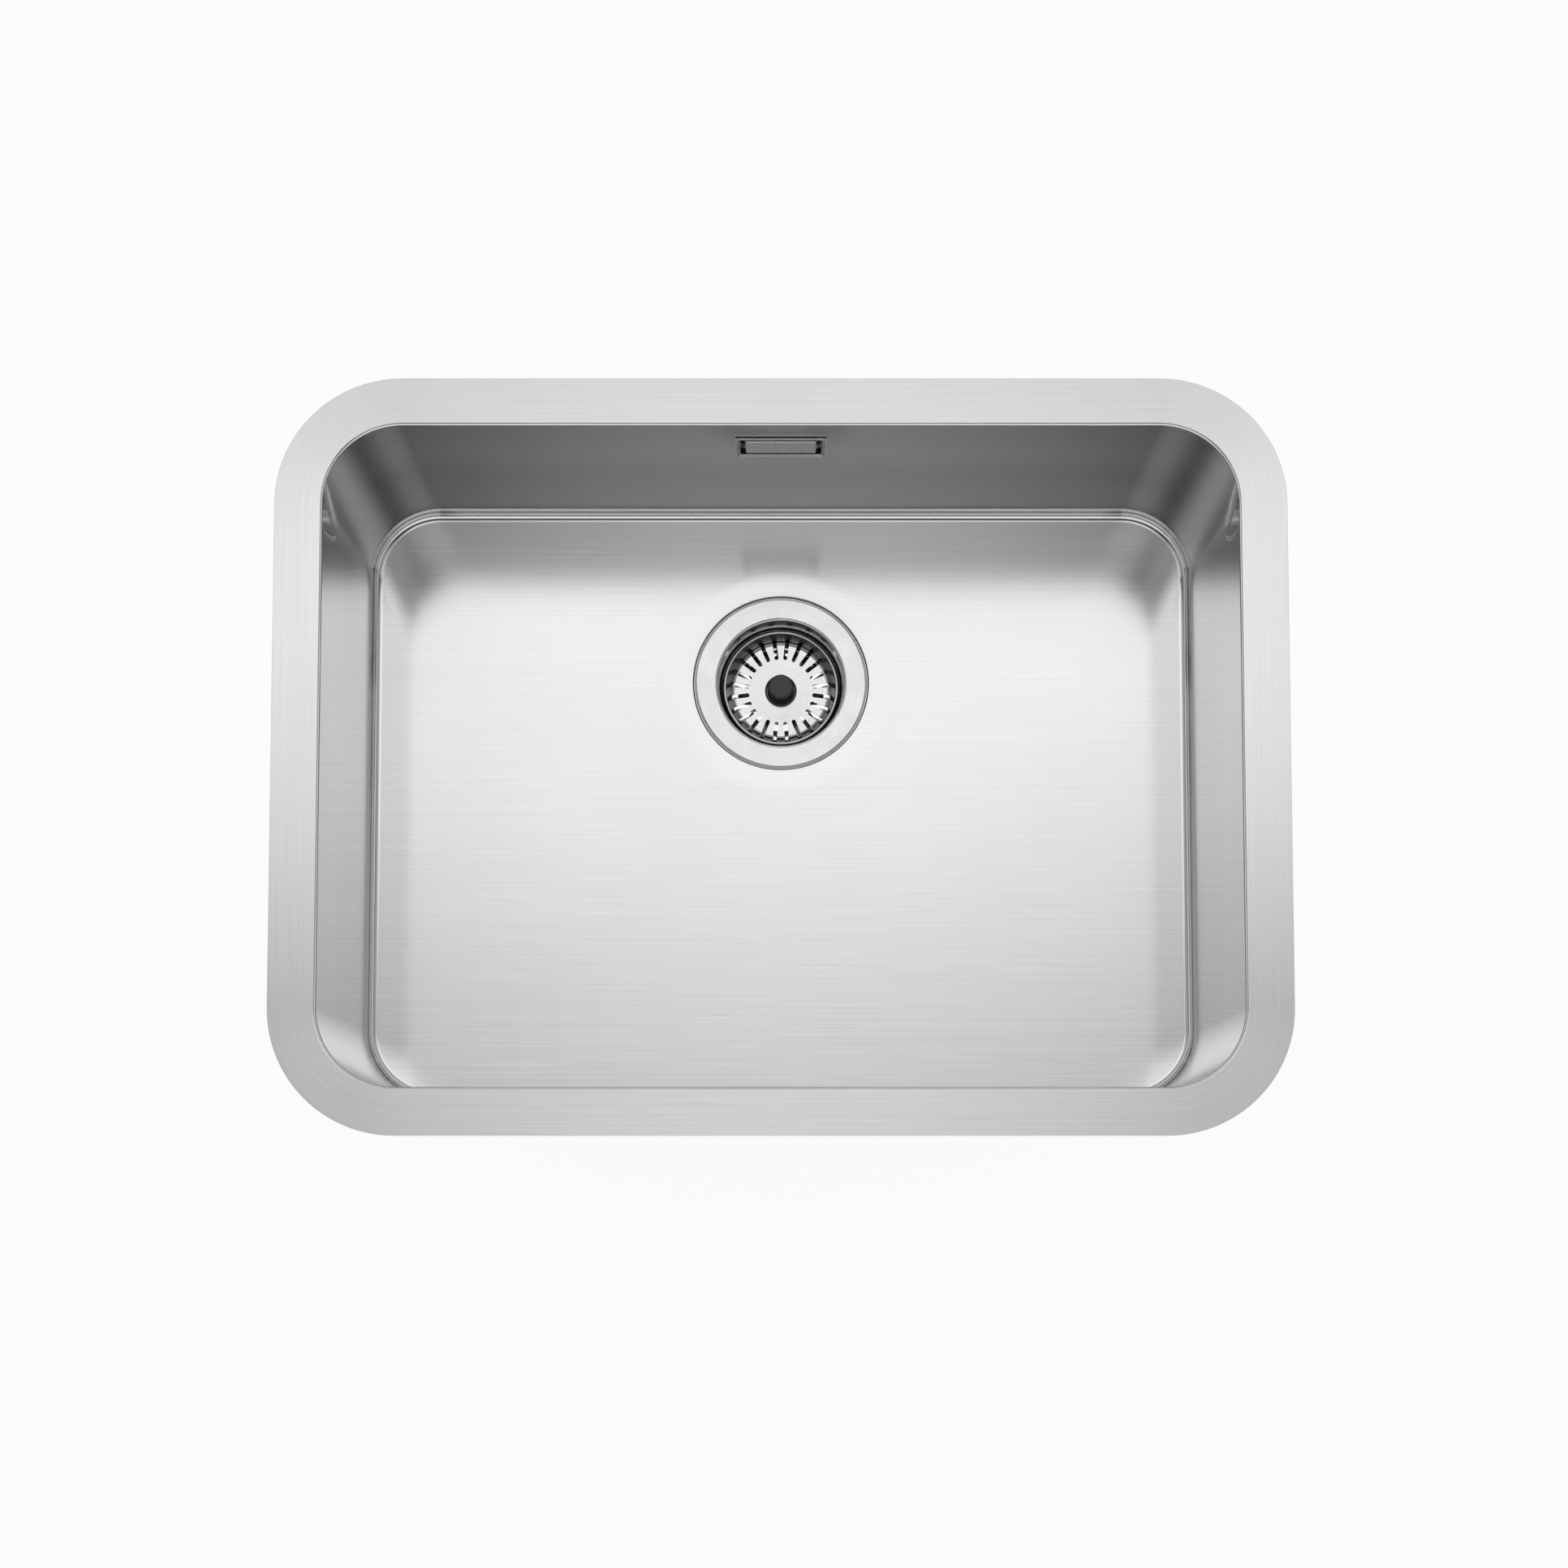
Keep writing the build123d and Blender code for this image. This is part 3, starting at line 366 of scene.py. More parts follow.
def frame_steel_with_painted_shade(node, colour, rough):
    """A bright pressed frame, with painted shade: near-black where it meets the wall and inside its throat.
    """
    f = Finish("bright_frame", colour, 1.0, rough)
    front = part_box(node)[0].y
    y = f.split(f.place())[1]
    # Painted shade: the part of the frame nearest the wall gets a near-black colour, standing in for the
    # shadow and dark reflection round its edge.
    face = f.span(y, front + 0.0011, front + 0.0014, 1.0, 0.0, smooth=True)
    streaks = f.noise(f.stretch(f.place(), (30, 600, 600)), 3.0, 0.6)
    shade = f.product(face, f.span(streaks, 0.3, 0.7, 0.9, 1.0))
    # The near-black colour here is painted shade; the streaks only vary the frame's own colour a little.
    f.set("Base Color", f.tint(shade, (0.10, 0.10, 0.105), colour))
    f.set("Roughness", f.span(streaks, 0.3, 0.7, rough * 0.85, rough * 1.15))
    f.set("Normal", f.bump(streaks, 0.000001))
    return f.material


def moulded(name, colour, rough, grain=0.00001, scale=1400.0):
    """Moulded plastic or rubber with a fine spark grain."""
    f = Finish(name, colour, 0.0, rough)
    speck = f.noise(f.place(), 2.0, 0.5, scale)
    cloud = f.noise(f.place(), 3.0, 0.5, 45.0)
    f.set("Base Color", f.tint(cloud, shaded(colour, 0.92), shaded(colour, 1.06)))
    f.set("Roughness", f.sum(f.product(cloud, 0.12), rough - 0.06))
    f.set("Normal", f.bump(speck, grain))
    return f.material


# ---------------------------------------------------------------- bowl


def lengths_along(points):
    """The length of a line up to each of its points."""
    lengths = [0.0]
    for before, after in zip(points, points[1:]):
        lengths.append(lengths[-1] + math.dist(before, after))
    return lengths


def wall_at(z):
    """The wall's seen face at height z: how far it stands inside the mouth line, and its lean."""
    slope = math.tan(DRAFT)
    inset = RIM_R * math.tan((math.pi / 2 - DRAFT) / 2) - z * slope
    past = max(0.0, LEAN_START - z)
    extra = math.tan(FOOT_DRAFT) - slope
    if past < LEAN_BLEND:
        return inset + extra * past**2 / (2 * LEAN_BLEND), math.atan(slope + extra * past / LEAN_BLEND)
    return inset + extra * (past - LEAN_BLEND / 2), FOOT_DRAFT


def bowl_profile():
    """The seen face from the flange's edge to the flat floor: (inset, height, normal inwards, normal up)."""
    flat_start = -FLANGE_WIDTH + EDGE_R
    rows = []
    for inset in (flat_start, flat_start + 0.0004, -0.018, -0.010, -0.003, -0.0004, 0.0):
        rows.append((inset, 0.0, 0.0, 1.0))
    for step in range(1, RIM_STEPS + 1):
        turn = (math.pi / 2 - DRAFT) * step / RIM_STEPS
        inwards, up = math.sin(turn), math.cos(turn)
        rows.append((RIM_R * inwards, RIM_R * up - RIM_R, inwards, up))

    bend_z = FLOOR_BEND_R - BOWL_DEPTH
    bend_top = bend_z - FLOOR_BEND_R * math.sin(FOOT_DRAFT)
    heights = [-0.0024, -0.006, -0.012, -0.018, HOLE_TOP, -0.033, -0.0412, -0.049, HOLE_BOTTOM]
    heights += list(np.linspace(LEAN_START, LEAN_START - LEAN_BLEND, 7))
    heights += [-0.104, -0.12, -0.135, -0.15, -0.165, -0.176, -0.182, bend_top]
    for z in heights:
        inset, lean = wall_at(z)
        rows.append((inset, z, math.cos(lean), math.sin(lean)))

    bend_inset = wall_at(bend_top)[0] + FLOOR_BEND_R * math.cos(FOOT_DRAFT)
    for step in range(1, BEND_STEPS + 1):
        turn = FOOT_DRAFT + (math.pi / 2 - FOOT_DRAFT) * step / BEND_STEPS
        inwards, up = math.cos(turn), math.sin(turn)
        rows.append((bend_inset - FLOOR_BEND_R * inwards, bend_z - FLOOR_BEND_R * up, inwards, up))
    rows.append((bend_inset + 0.0004, -BOWL_DEPTH, 0.0, 1.0))
    return rows


def seat_profile():
    """The seat's seen face from its outer edge to the waste hole: (radius, depth, lean inwards, up)."""
    rows = []

    def row(outer, inner, share, depth, steepness):
        """One row at a share of the way from outer to inner, with the depth's change over that way."""
        slope = steepness / (outer - inner)
        length = math.hypot(1, slope)
        rows.append((outer - (outer - inner) * share, depth, slope / length, 1 / length))

    for step in range(DISH_STEPS + 1):
        share = step / DISH_STEPS
        row(DISH_R, STEP_R, share, SAG * share**2, SAG * 2 * share)
    drop = DISH_DEPTH - SAG
    for step in range(1, DISH_STEPS + 1):
        share = step / DISH_STEPS
        ease = 3 * share**2 - 2 * share**3
        row(STEP_R, SEAT_R, share, SAG + drop * ease, drop * 6 * share * (1 - share))
    rows.append((WASTE_HOLE_R, DISH_DEPTH, 0.0, 1.0))
    return rows


def bowl_columns():
    """Where the mesh's columns stand round the mouth: (core x, core y, outward x, outward y, way round)."""
    half_x = MOUTH_LENGTH / 2 - MOUTH_CORNER_R
    half_y = MOUTH_WIDTH / 2 - MOUTH_CORNER_R
    hole = HOLE_LENGTH / 2
    right = np.linspace(hole, half_x, 9)
    left = np.linspace(-half_x, -hole, 9)
    rear = [*left, -0.013, 0.0, 0.013, *right]
    front = list(np.linspace(0, half_x, 11))
    side = list(np.linspace(-half_y, half_y, 15))
    columns = []
    way = 0.0

    def straight(points, direction):
        nonlocal way
        last = points[0]
        for point in points:
            way += math.dist(point, last)
            columns.append((*point, *direction, way))
            last = point

    def corner(core, start):
        nonlocal way
        step = math.pi / 2 / CORNER_STEPS
        for count in range(1, CORNER_STEPS):
            turn = start + step * count
            columns.append((*core, math.cos(turn), math.sin(turn), way + MOUTH_CORNER_R * step * count))
        way += MOUTH_CORNER_R * math.pi / 2

    straight([(x, -half_y) for x in front], (0, -1))
    corner((half_x, -half_y), -math.pi / 2)
    straight([(half_x, y) for y in side], (1, 0))
    corner((half_x, half_y), 0)
    straight([(x, half_y) for x in reversed(rear)], (0, 1))
    corner((-half_x, half_y), math.pi / 2)
    straight([(-half_x, y) for y in reversed(side)], (-1, 0))
    corner((-half_x, -half_y), math.pi)
    straight([(-x, -half_y) for x in reversed(front[1:])], (0, -1))
    return columns, way + front[1]


class BowlMesh:
    """The bowl's mesh in the making: vertices with normals, and faces with their grain and side."""

    def __init__(self):
        self.columns, self.whole_way = bowl_columns()
        self.count = len(self.columns)
        self.spots, self.normals = [], []
        self.faces, self.grain, self.back = [], [], []

    def ring(self, inset, z, inwards, up):
        """Adds a ring of vertices round the mouth and returns the number of its first."""
        first = len(self.spots)
        reach = MOUTH_CORNER_R - inset
        for core_x, core_y, out_x, out_y, way in self.columns:
            self.spots.append((core_x + out_x * reach, core_y + out_y * reach, z))
            self.normals.append((-inwards * out_x, -inwards * out_y, up))
        return first

    def circle(self, radius, depth, inwards, up):
        """Adds a circle of vertices round the waste and returns the number of its first."""
        first = len(self.spots)
        for step in range(AROUND):
            turn = math.tau * step / AROUND
            out_x, out_y = math.cos(turn), math.sin(turn)
            self.spots.append((radius * out_x, WASTE_Y + radius * out_y, -BOWL_DEPTH - depth))
            self.normals.append((-inwards * out_x, -inwards * out_y, up))
        return first

    def face(self, corners, marks, hidden=False):
        """Adds a face with a grain mark at each corner. A hidden one is turned over, for the sheet's back."""
        way = -1 if hidden else 1
        self.faces.append(corners[::way])
        self.grain.append(marks[::way])
        self.back.append(hidden)

    def flat_face(self, corners, hidden):
        """A face whose grain runs along the sink."""
        self.face(corners, [self.spots[c][:2] for c in corners], hidden)

    def band(self, upper, lower, upper_length, lower_length, skip=(), hidden=False):
        """Joins two rings. Their grain runs round the bowl."""
        for column in range(self.count):
            if column in skip:
                continue
            after = (column + 1) % self.count
            way = self.columns[column][4]
            way_after = self.columns[after][4] if after else self.whole_way
            corners = [upper + column, upper + after, lower + after, lower + column]
            upper_marks = [(way, upper_length), (way_after, upper_length)]
            lower_marks = [(way_after, lower_length), (way, lower_length)]
            self.face(corners, upper_marks + lower_marks, hidden)

    def disc_band(self, outer, inner, hidden=False):
        """Joins two circles."""
        for step in range(AROUND):
            after = (step + 1) % AROUND
            self.flat_face([outer + step, outer + after, inner + after, inner + step], hidden)

    def floor(self, ring, circle, hidden):
        """Fills the flat floor between a ring and a circle, and goes round both at once."""
        on_ring = self.spots[ring : ring + self.count]
        turns = [math.atan2(y - WASTE_Y, x) % math.tau for x, y, z in on_ring]
        first = turns.index(min(turns))
        a, b = 0, 0
        while a < self.count or b < AROUND:
            turn_a = turns[(first + a + 1) % self.count] + (math.tau if a + 1 >= self.count else 0)
            turn_b = math.tau * (b + 1) / AROUND
            outer = ring + (first + a) % self.count
            inner = circle + b % AROUND
            if b >= AROUND or (a < self.count and turn_a <= turn_b):
                a += 1
                corner = ring + (first + a) % self.count
            else:
                b += 1
                corner = circle + b % AROUND
            self.flat_face([outer, corner, inner], hidden)

    def hole_columns(self):
        """The columns of faces that the overflow's hole leaves out."""
        columns = []
        for column in range(self.count):
            here, after = self.columns[column], self.columns[(column + 1) % self.count]
            at_rear = here[3] > 0
            if at_rear and max(abs(here[0]), abs(after[0])) <= HOLE_LENGTH / 2 + TOLERANCE:
                columns.append(column)
        return columns

    def piece(self, name):
        """The finished piece, with its own normals, so that its bends are smooth."""
        mesh = bpy.data.meshes.new(name)
        mesh.from_pydata(self.spots, [], self.faces)
        mesh.shade_smooth()
        layer = mesh.uv_layers.new(name="grain")
        marks = [mark for face in self.grain for mark in face]
        layer.uv.foreach_set("vector", np.array(marks, np.float32).ravel())
        mesh.polygons.foreach_set("material_index", np.array(self.back, np.int32))
        mesh.validate()
        mesh.normals_split_custom_set_from_vertices([Vector(n).normalized() for n in self.normals])
        piece = bpy.data.objects.new(name, mesh)
        bpy.context.scene.collection.objects.link(piece)
        return piece


def bowl():
    """The pressed bowl: flange, rim, walls, floor and the seat round the waste, as a sheet with two sides."""
    mesh = BowlMesh()
    rows = bowl_profile()
    lengths = lengths_along([(inset, z) for inset, z, inwards, up in rows])
    seen = [mesh.ring(*row) for row in rows]
    hidden = [mesh.ring(i - SHEET * n, z - SHEET * u, -n, -u) for i, z, n, u in rows]
    hole = mesh.hole_columns()
    for row in range(len(rows) - 1):
        in_hole = rows[row][1] <= HOLE_TOP + TOLERANCE and rows[row + 1][1] >= HOLE_BOTTOM - TOLERANCE
        skip = hole if in_hole else ()
        mesh.band(seen[row], seen[row + 1], lengths[row], lengths[row + 1], skip)
        mesh.band(hidden[row], hidden[row + 1], lengths[row], lengths[row + 1], skip, hidden=True)
    round_flange_edge(mesh, seen[0], hidden[0])

    top = next(i for i, row in enumerate(rows) if abs(row[1] - HOLE_TOP) < TOLERANCE)
    bottom = next(i for i, row in enumerate(rows) if abs(row[1] - HOLE_BOTTOM) < TOLERANCE)
    cut_hole_edges(mesh, seen[top : bottom + 1], hidden[0] - seen[0], hole[0], hole[-1] + 1)

    seat = seat_profile()
    upper = [mesh.circle(r, depth, inwards, up) for r, depth, inwards, up in seat]
    under = [mesh.circle(r, depth + SHEET, -inwards, -up) for r, depth, inwards, up in seat]
    for outer, inner in zip(upper, upper[1:]):
        mesh.disc_band(outer, inner)
    for outer, inner in zip(under, under[1:]):
        mesh.disc_band(outer, inner, hidden=True)
    mesh.disc_band(upper[-1], under[-1])
    mesh.floor(seen[-1], upper[0], False)
    mesh.floor(hidden[-1], under[0], True)
    return mesh.piece("bowl_skin")


def round_flange_edge(mesh, seen, hidden):
    """Closes the sheet's rounded edge round the flange, from its seen ring to its hidden one."""
    edge = [seen]
    for step in range(1, EDGE_STEPS):
        turn = math.pi * step / EDGE_STEPS
        out, up = math.sin(turn), math.cos(turn)
        middle = -SHEET / 2
        if abs(up) > TOLERANCE:
            middle += math.copysign(SHEET / 2 - EDGE_R, up)
        edge.append(mesh.ring(-FLANGE_WIDTH + EDGE_R - EDGE_R * out, middle + EDGE_R * up, -out, up))
    edge.append(hidden)
    for upper, lower in zip(edge, edge[1:]):
        mesh.band(upper, lower, -0.001, -0.0005, hidden=True)


def cut_hole_edges(mesh, rings, through, left, right):
    """Joins the sheet's two sides round the overflow's hole, whose columns run from left to right.

    Each hidden vertex has the number of the seen one before it, plus through.
    """

    def across(start, end):
        mesh.face([start, end, end + through, start + through], [(0, 0)] * 4)

    for column in range(left, right):
        across(rings[0] + column, rings[0] + column + 1)
        across(rings[-1] + column + 1, rings[-1] + column)
    for upper, lower in zip(rings, rings[1:]):
        across(lower + left, upper + left)
        across(upper + right, lower + right)


# ---------------------------------------------------------------- basket


def rounded(corners, radii, steps=8):
    """A line through corners, with an arc of the given radius at each corner between its ends."""
    points = [Vector(corners[0])]
    for before, corner, after, radius in zip(corners, corners[1:], corners[2:], radii):
        corner = Vector(corner)
        to_before = (Vector(before) - corner).normalized()
        to_after = (Vector(after) - corner).normalized()
        half = to_before.angle(to_after) / 2
        centre = corner + (to_before + to_after).normalized() * (radius / math.sin(half))
        start = corner + to_before * (radius / math.tan(half)) - centre
        end = corner + to_after * (radius / math.tan(half)) - centre
        for step in range(steps + 1):
            points.append(centre + start.normalized().slerp(end.normalized(), step / steps) * radius)
    points.append(Vector(corners[-1]))
    return points


def basket_line():
    """The basket's seen face from under its rolled rim to its middle: (radius, height from the rim's top)."""
    corners = [
        (BASKET_WALL_R, -BASKET_BEAD_R),
        (BASKET_FLOOR_R, -BASKET_DEPTH),
        (SLOT_INNER_R, -BASKET_DEPTH),
        (BASKET_DIP_R, BASKET_DOME - BASKET_DEPTH),
        (POST_SEAT_R, -BASKET_DEPTH - BASKET_DIP),
        (POST_HOLE_R, -BASKET_DEPTH - BASKET_DIP),
    ]
    return rounded(corners, BASKET_BENDS)


def basket_rows(line, lengths):
    """How far down the line each row of the mesh is, and the numbers of the rows that the slots end at."""
    wall = [-p.y for p in line if p.x > BASKET_FLOOR_R]
    slot_top = float(np.interp(BASKET_DEPTH - SLOT_RISE, wall, lengths[: len(wall)]))
    slot_end = next(length for p, length in zip(line, lengths) if p.x <= SLOT_INNER_R + 0.0004)
    half = SLOT_WIDTH / 2
    above = list(np.linspace(0, slot_top - 0.0004, 5))
    within = list(np.linspace(slot_top + half + 0.0003, slot_end - half - 0.0003, 26))
    bends = [length for length in lengths if length > slot_end + 0.0004]
    below = [*np.linspace(slot_end + 0.0005, bends[0], 10)[:-1], *bends]
    rows = [*above, slot_top, *within, slot_end, *below]
    return rows, len(above), len(above) + len(within) + 1


def basket_face(rim_top):
    """The basket's seen face, a sheet without thickness, with its slots cut out of wall and floor."""
    line = basket_line()
    lengths = lengths_along(line)
    radii, heights = [p.x for p in line], [p.y for p in line]
    rows, top_row, end_row = basket_rows(line, lengths)
    half = SLOT_WIDTH / 2
    pitch = math.tau / SLOTS
    spots, faces = [], []

    def spot(length, middle, aside, share=0.0):
        """Adds a vertex aside from a slot's middle, and then a share of the way over the bar beside it."""
        radius = float(np.interp(length, lengths, radii))
        height = float(np.interp(length, lengths, heights))
        round_at = max(radius, SLOT_INNER_R)
        over_bar = pitch - 2 * math.asin(half / round_at)
        turn = middle + math.asin(aside / round_at) + over_bar * share
        spots.append((radius * math.cos(turn), WASTE_Y + radius * math.sin(turn), rim_top + height))

    for index, row in enumerate(rows):
        bow = {top_row: 1, end_row: -1}.get(index, 0)
        for slot in range(SLOTS):
            middle = pitch * (slot + 0.5) + math.pi / 2
            for column in SLOT_COLUMNS:
                aside = half * column
                spot(row + bow * (half - math.sqrt(half**2 - aside**2)), middle, aside)
            for share in BAR_COLUMNS:
                spot(row + bow * half, middle, half, share)
    in_pitch = len(SLOT_COLUMNS) + len(BAR_COLUMNS)
    count = in_pitch * SLOTS
    for index in range(len(rows) - 1):
        upper, lower = index * count, (index + 1) * count
        for column in range(count):
            in_slot = column % in_pitch < len(SLOT_COLUMNS) - 1
            if not (in_slot and top_row <= index < end_row):
                after = (column + 1) % count
                faces.append([upper + column, upper + after, lower + after, lower + column])
    mesh = bpy.data.meshes.new("basket_skin")
    mesh.from_pydata(spots, [], faces)
    return mesh


def basket():
    """The pressed basket: a slotted cup with a rolled rim and a middle that dips to the knob's post."""
    rim_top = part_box("basket")[1].z
    mesh = basket_face(rim_top)
    shape = bmesh.new()
    shape.from_mesh(mesh)
    bmesh.ops.delete(shape, geom=[v for v in shape.verts if not v.link_faces], context="VERTS")
    shape.to_mesh(mesh)
    shape.free()
    blank = bpy.data.objects.new("basket_blank", mesh)
    bpy.context.scene.collection.objects.link(blank)
    sheet = blank.modifiers.new("sheet", "SOLIDIFY")
    sheet.thickness = BASKET_SHEET
    sheet.offset = -1.0
    sheet.use_even_offset = True
    graph = bpy.context.evaluated_depsgraph_get()
    skin = bpy.data.meshes.new_from_object(blank.evaluated_get(graph))
    bpy.data.objects.remove(blank)

    shape = bmesh.new()
    shape.from_mesh(skin)
    roll_rim(shape, rim_top)
    shape.to_mesh(skin)
    shape.free()
    skin.name = "basket_skin"
    skin.shade_smooth()
    skin.set_sharp_from_angle(angle=SHARP_FROM)
    piece = bpy.data.objects.new("basket_skin", skin)
    bpy.context.scene.collection.objects.link(piece)
    return piece


def roll_rim(shape, rim_top):
    """Adds the rolled rim that the wall's top edge ends in."""
    rings = []
    for step in range(AROUND):
        turn = math.tau * step / AROUND
        ring = []
        for place in range(BEAD_STEPS):
            lean = math.tau * place / BEAD_STEPS
            radius = BASKET_RIM_R - BASKET_BEAD_R + BASKET_BEAD_R * math.cos(lean)
            height = rim_top - BASKET_BEAD_R + BASKET_BEAD_R * math.sin(lean)
            ring.append(shape.verts.new((radius * math.cos(turn), WASTE_Y + radius * math.sin(turn), height)))
        rings.append(ring)
    for ring, after in zip(rings, rings[1:] + rings[:1]):
        for place in range(BEAD_STEPS):
            above = (place + 1) % BEAD_STEPS
            shape.faces.new([ring[place], after[place], after[above], ring[above]])


# ---------------------------------------------------------------- what repeats or follows a path


class Grown:
    """A Geometry Nodes tree, built with short calls that add its nodes and join them."""

    def __init__(self, name, **sizes):
        self.tree = bpy.data.node_groups.new(name, "GeometryNodeTree")
        face = self.tree.interface
        face.new_socket("Geometry", in_out="INPUT", socket_type="NodeSocketGeometry")
        self.values = {}
        for size, value in sizes.items():
            kind = "NodeSocketInt" if isinstance(value, int) else "NodeSocketFloat"
            socket = face.new_socket(size.replace("_", " "), in_out="INPUT", socket_type=kind)
            self.values[socket.identifier] = value
        self.finish = face.new_socket("Finish", in_out="INPUT", socket_type="NodeSocketMaterial").identifier
        face.new_socket("Geometry", in_out="OUTPUT", socket_type="NodeSocketGeometry")
        self.sizes = self.tree.nodes.new("NodeGroupInput").outputs

    def add(self, kind, values, **settings):
        node = self.tree.nodes.new(kind)
        for key, value in settings.items():
            setattr(node, key, value)
        for socket, value in values.items():
            if isinstance(value, bpy.types.NodeSocket):
                self.tree.links.new(value, node.inputs[socket])
            else:
                node.inputs[socket].default_value = value
        return node.outputs[0]

    def maths(self, operation, *values):
        return self.add("ShaderNodeMath", dict(enumerate(values)), operation=operation)

    def way(self):
        """The length of the curve up to each of its points."""
        return self.tree.nodes.new("GeometryNodeSplineParameter").outputs["Length"]

    def close(self, geometry):
        """Realizes what repeats and sets the finish, as the tree's last nodes."""
        real = self.add("GeometryNodeRealizeInstances", {0: geometry})
        smooth = self.add("GeometryNodeSetShadeSmooth", {0: real})
        dressed = self.add("GeometryNodeSetMaterial", {0: smooth, "Material": self.sizes["Finish"]})
        self.tree.links.new(dressed, self.tree.nodes.new("NodeGroupOutput").inputs[0])

    def grow(self, name, material, path=(HOSE_TOP, HOSE_INLET)):
        """Runs the tree on a line and keeps the result as a plain mesh.

        Only a tree that follows a path reads the line. The others draw their own.
        """
        base = line_of(path)
        modifier = base.modifiers.new("grow", "NODES")
        modifier.node_group = self.tree
        for identifier, value in self.values.items():
            modifier[identifier] = value
        modifier[self.finish] = material
        graph = bpy.context.evaluated_depsgraph_get()
        mesh = bpy.data.meshes.new_from_object(base.evaluated_get(graph))
        mesh.name = name
        mesh.materials.clear()
        mesh.materials.append(material)
        mesh.polygons.foreach_set("material_index", [0] * len(mesh.polygons))
        bpy.data.objects.remove(base)
        piece = bpy.data.objects.new(name, mesh)
        bpy.context.scene.collection.objects.link(piece)
        return piece


def line_of(points):
    """Straight runs through points, as a curve with no thickness."""
    data = bpy.data.curves.new("line", "CURVE")
    data.dimensions = "3D"
    spline = data.splines.new("POLY")
    spline.points.add(len(points) - 1)
    for spot, point in zip(spline.points, points):
        spot.co = (*point, 1.0)
    line = bpy.data.objects.new("line", data)
    bpy.context.scene.collection.objects.link(line)
    return line


def ribbed_hose():
    """A corrugated hose along a line: rounded ribs between two smooth cuffs with beaded mouths."""
    g = Grown(
        "ribbed_hose",
        Bend_radius=0.05,
        Root_radius=0.0087,
        Crest_radius=0.0105,
        Cuff_radius=0.0109,
        Cuff_length=0.0236,
        Bead_place=0.0016,
        Bead_height=0.0003,
        Ribs=55,
        Rows_to_a_rib=10,
        Sides=48,
    )
    size = g.sizes
    bend = {"Curve": size["Geometry"], "Count": 48, "Radius": size["Bend radius"]}
    bent = g.add("GeometryNodeFilletCurve", bend, mode="POLY")
    whole = g.add("GeometryNodeCurveLength", {0: bent})
    ribbed = g.maths("SUBTRACT", whole, g.maths("MULTIPLY", size["Cuff length"], 2.0))
    pitch = g.maths("DIVIDE", ribbed, size["Ribs"])
    step = g.maths("DIVIDE", pitch, size["Rows to a rib"])
    rows = g.add("GeometryNodeResampleCurve", {"Curve": bent, "Length": step}, mode="LENGTH")

    along = g.way()
    past_cuff = g.maths("DIVIDE", g.maths("SUBTRACT", along, size["Cuff length"]), pitch)
    wave = g.maths("COSINE", g.maths("MULTIPLY", past_cuff, math.tau))
    lift = g.maths("POWER", g.maths("MULTIPLY_ADD", wave, -0.5, 0.5), 0.6)
    rib = g.add("ShaderNodeMapRange", {"Value": lift, 3: size["Root radius"], 4: size["Crest radius"]})

    from_mouth = g.maths("MINIMUM", along, g.maths("SUBTRACT", whole, along))
    plain = g.maths("SUBTRACT", 1.0, g.maths("COMPARE", from_mouth, size["Bead place"], size["Bead place"]))
    cuff = g.maths("SUBTRACT", size["Cuff radius"], g.maths("MULTIPLY", plain, size["Bead height"]))
    slope_start = g.maths("MULTIPLY", size["Cuff length"], 0.87)
    slope = {"Value": from_mouth, 1: slope_start, 2: size["Cuff length"], 3: cuff, 4: size["Root radius"]}
    shoulder = g.add("ShaderNodeMapRange", slope, interpolation_type="SMOOTHSTEP")
    on_cuff = g.maths("LESS_THAN", from_mouth, size["Cuff length"])
    radius = g.add("ShaderNodeMix", {"Factor": on_cuff, "A": rib, "B": shoulder})

    ring = g.add("GeometryNodeCurvePrimitiveCircle", {"Resolution": size["Sides"], "Radius": 1.0})
    skin = {"Curve": rows, "Profile Curve": ring, "Scale": radius, "Fill Caps": True}
    g.close(g.add("GeometryNodeCurveToMesh", skin))
    return g


def pipe_thread():
    """A rounded thread that winds up a pipe and runs out at both ends."""
    g = Grown(
        "pipe_thread",
        Turns=11.0,
        Pitch=0.00231,
        Winding_radius=0.02312,
        Ridge_radius=0.00078,
        Run_out=0.04,
        Place_y=WASTE_Y,
        Place_z=OUTLET_END + 0.0035,
        Steps_to_a_turn=72,
    )
    size = g.sizes
    winding = {
        "Resolution": size["Steps to a turn"],
        "Rotations": size["Turns"],
        "Start Radius": size["Winding radius"],
        "End Radius": size["Winding radius"],
        "Height": g.maths("MULTIPLY", size["Turns"], size["Pitch"]),
    }
    spiral = g.add("GeometryNodeCurveSpiral", winding)
    whole = g.add("GeometryNodeCurveLength", {0: spiral})
    along = g.way()
    to_end = g.maths("MINIMUM", along, g.maths("SUBTRACT", whole, along))
    thin = g.maths("MULTIPLY", size["Ridge radius"], 0.1)
    swell = {"Value": to_end, 2: size["Run out"], 3: thin, 4: size["Ridge radius"]}
    ridge = g.add("ShaderNodeMapRange", swell)
    ring = g.add("GeometryNodeCurvePrimitiveCircle", {"Resolution": 10, "Radius": 1.0})
    skin = {"Curve": spiral, "Profile Curve": ring, "Scale": ridge, "Fill Caps": True}
    thread = g.add("GeometryNodeCurveToMesh", skin)
    place = g.add("ShaderNodeCombineXYZ", {"Y": size["Place y"], "Z": size["Place z"]})
    g.close(g.add("GeometryNodeTransform", {"Geometry": thread, "Translation": place}))
    return g


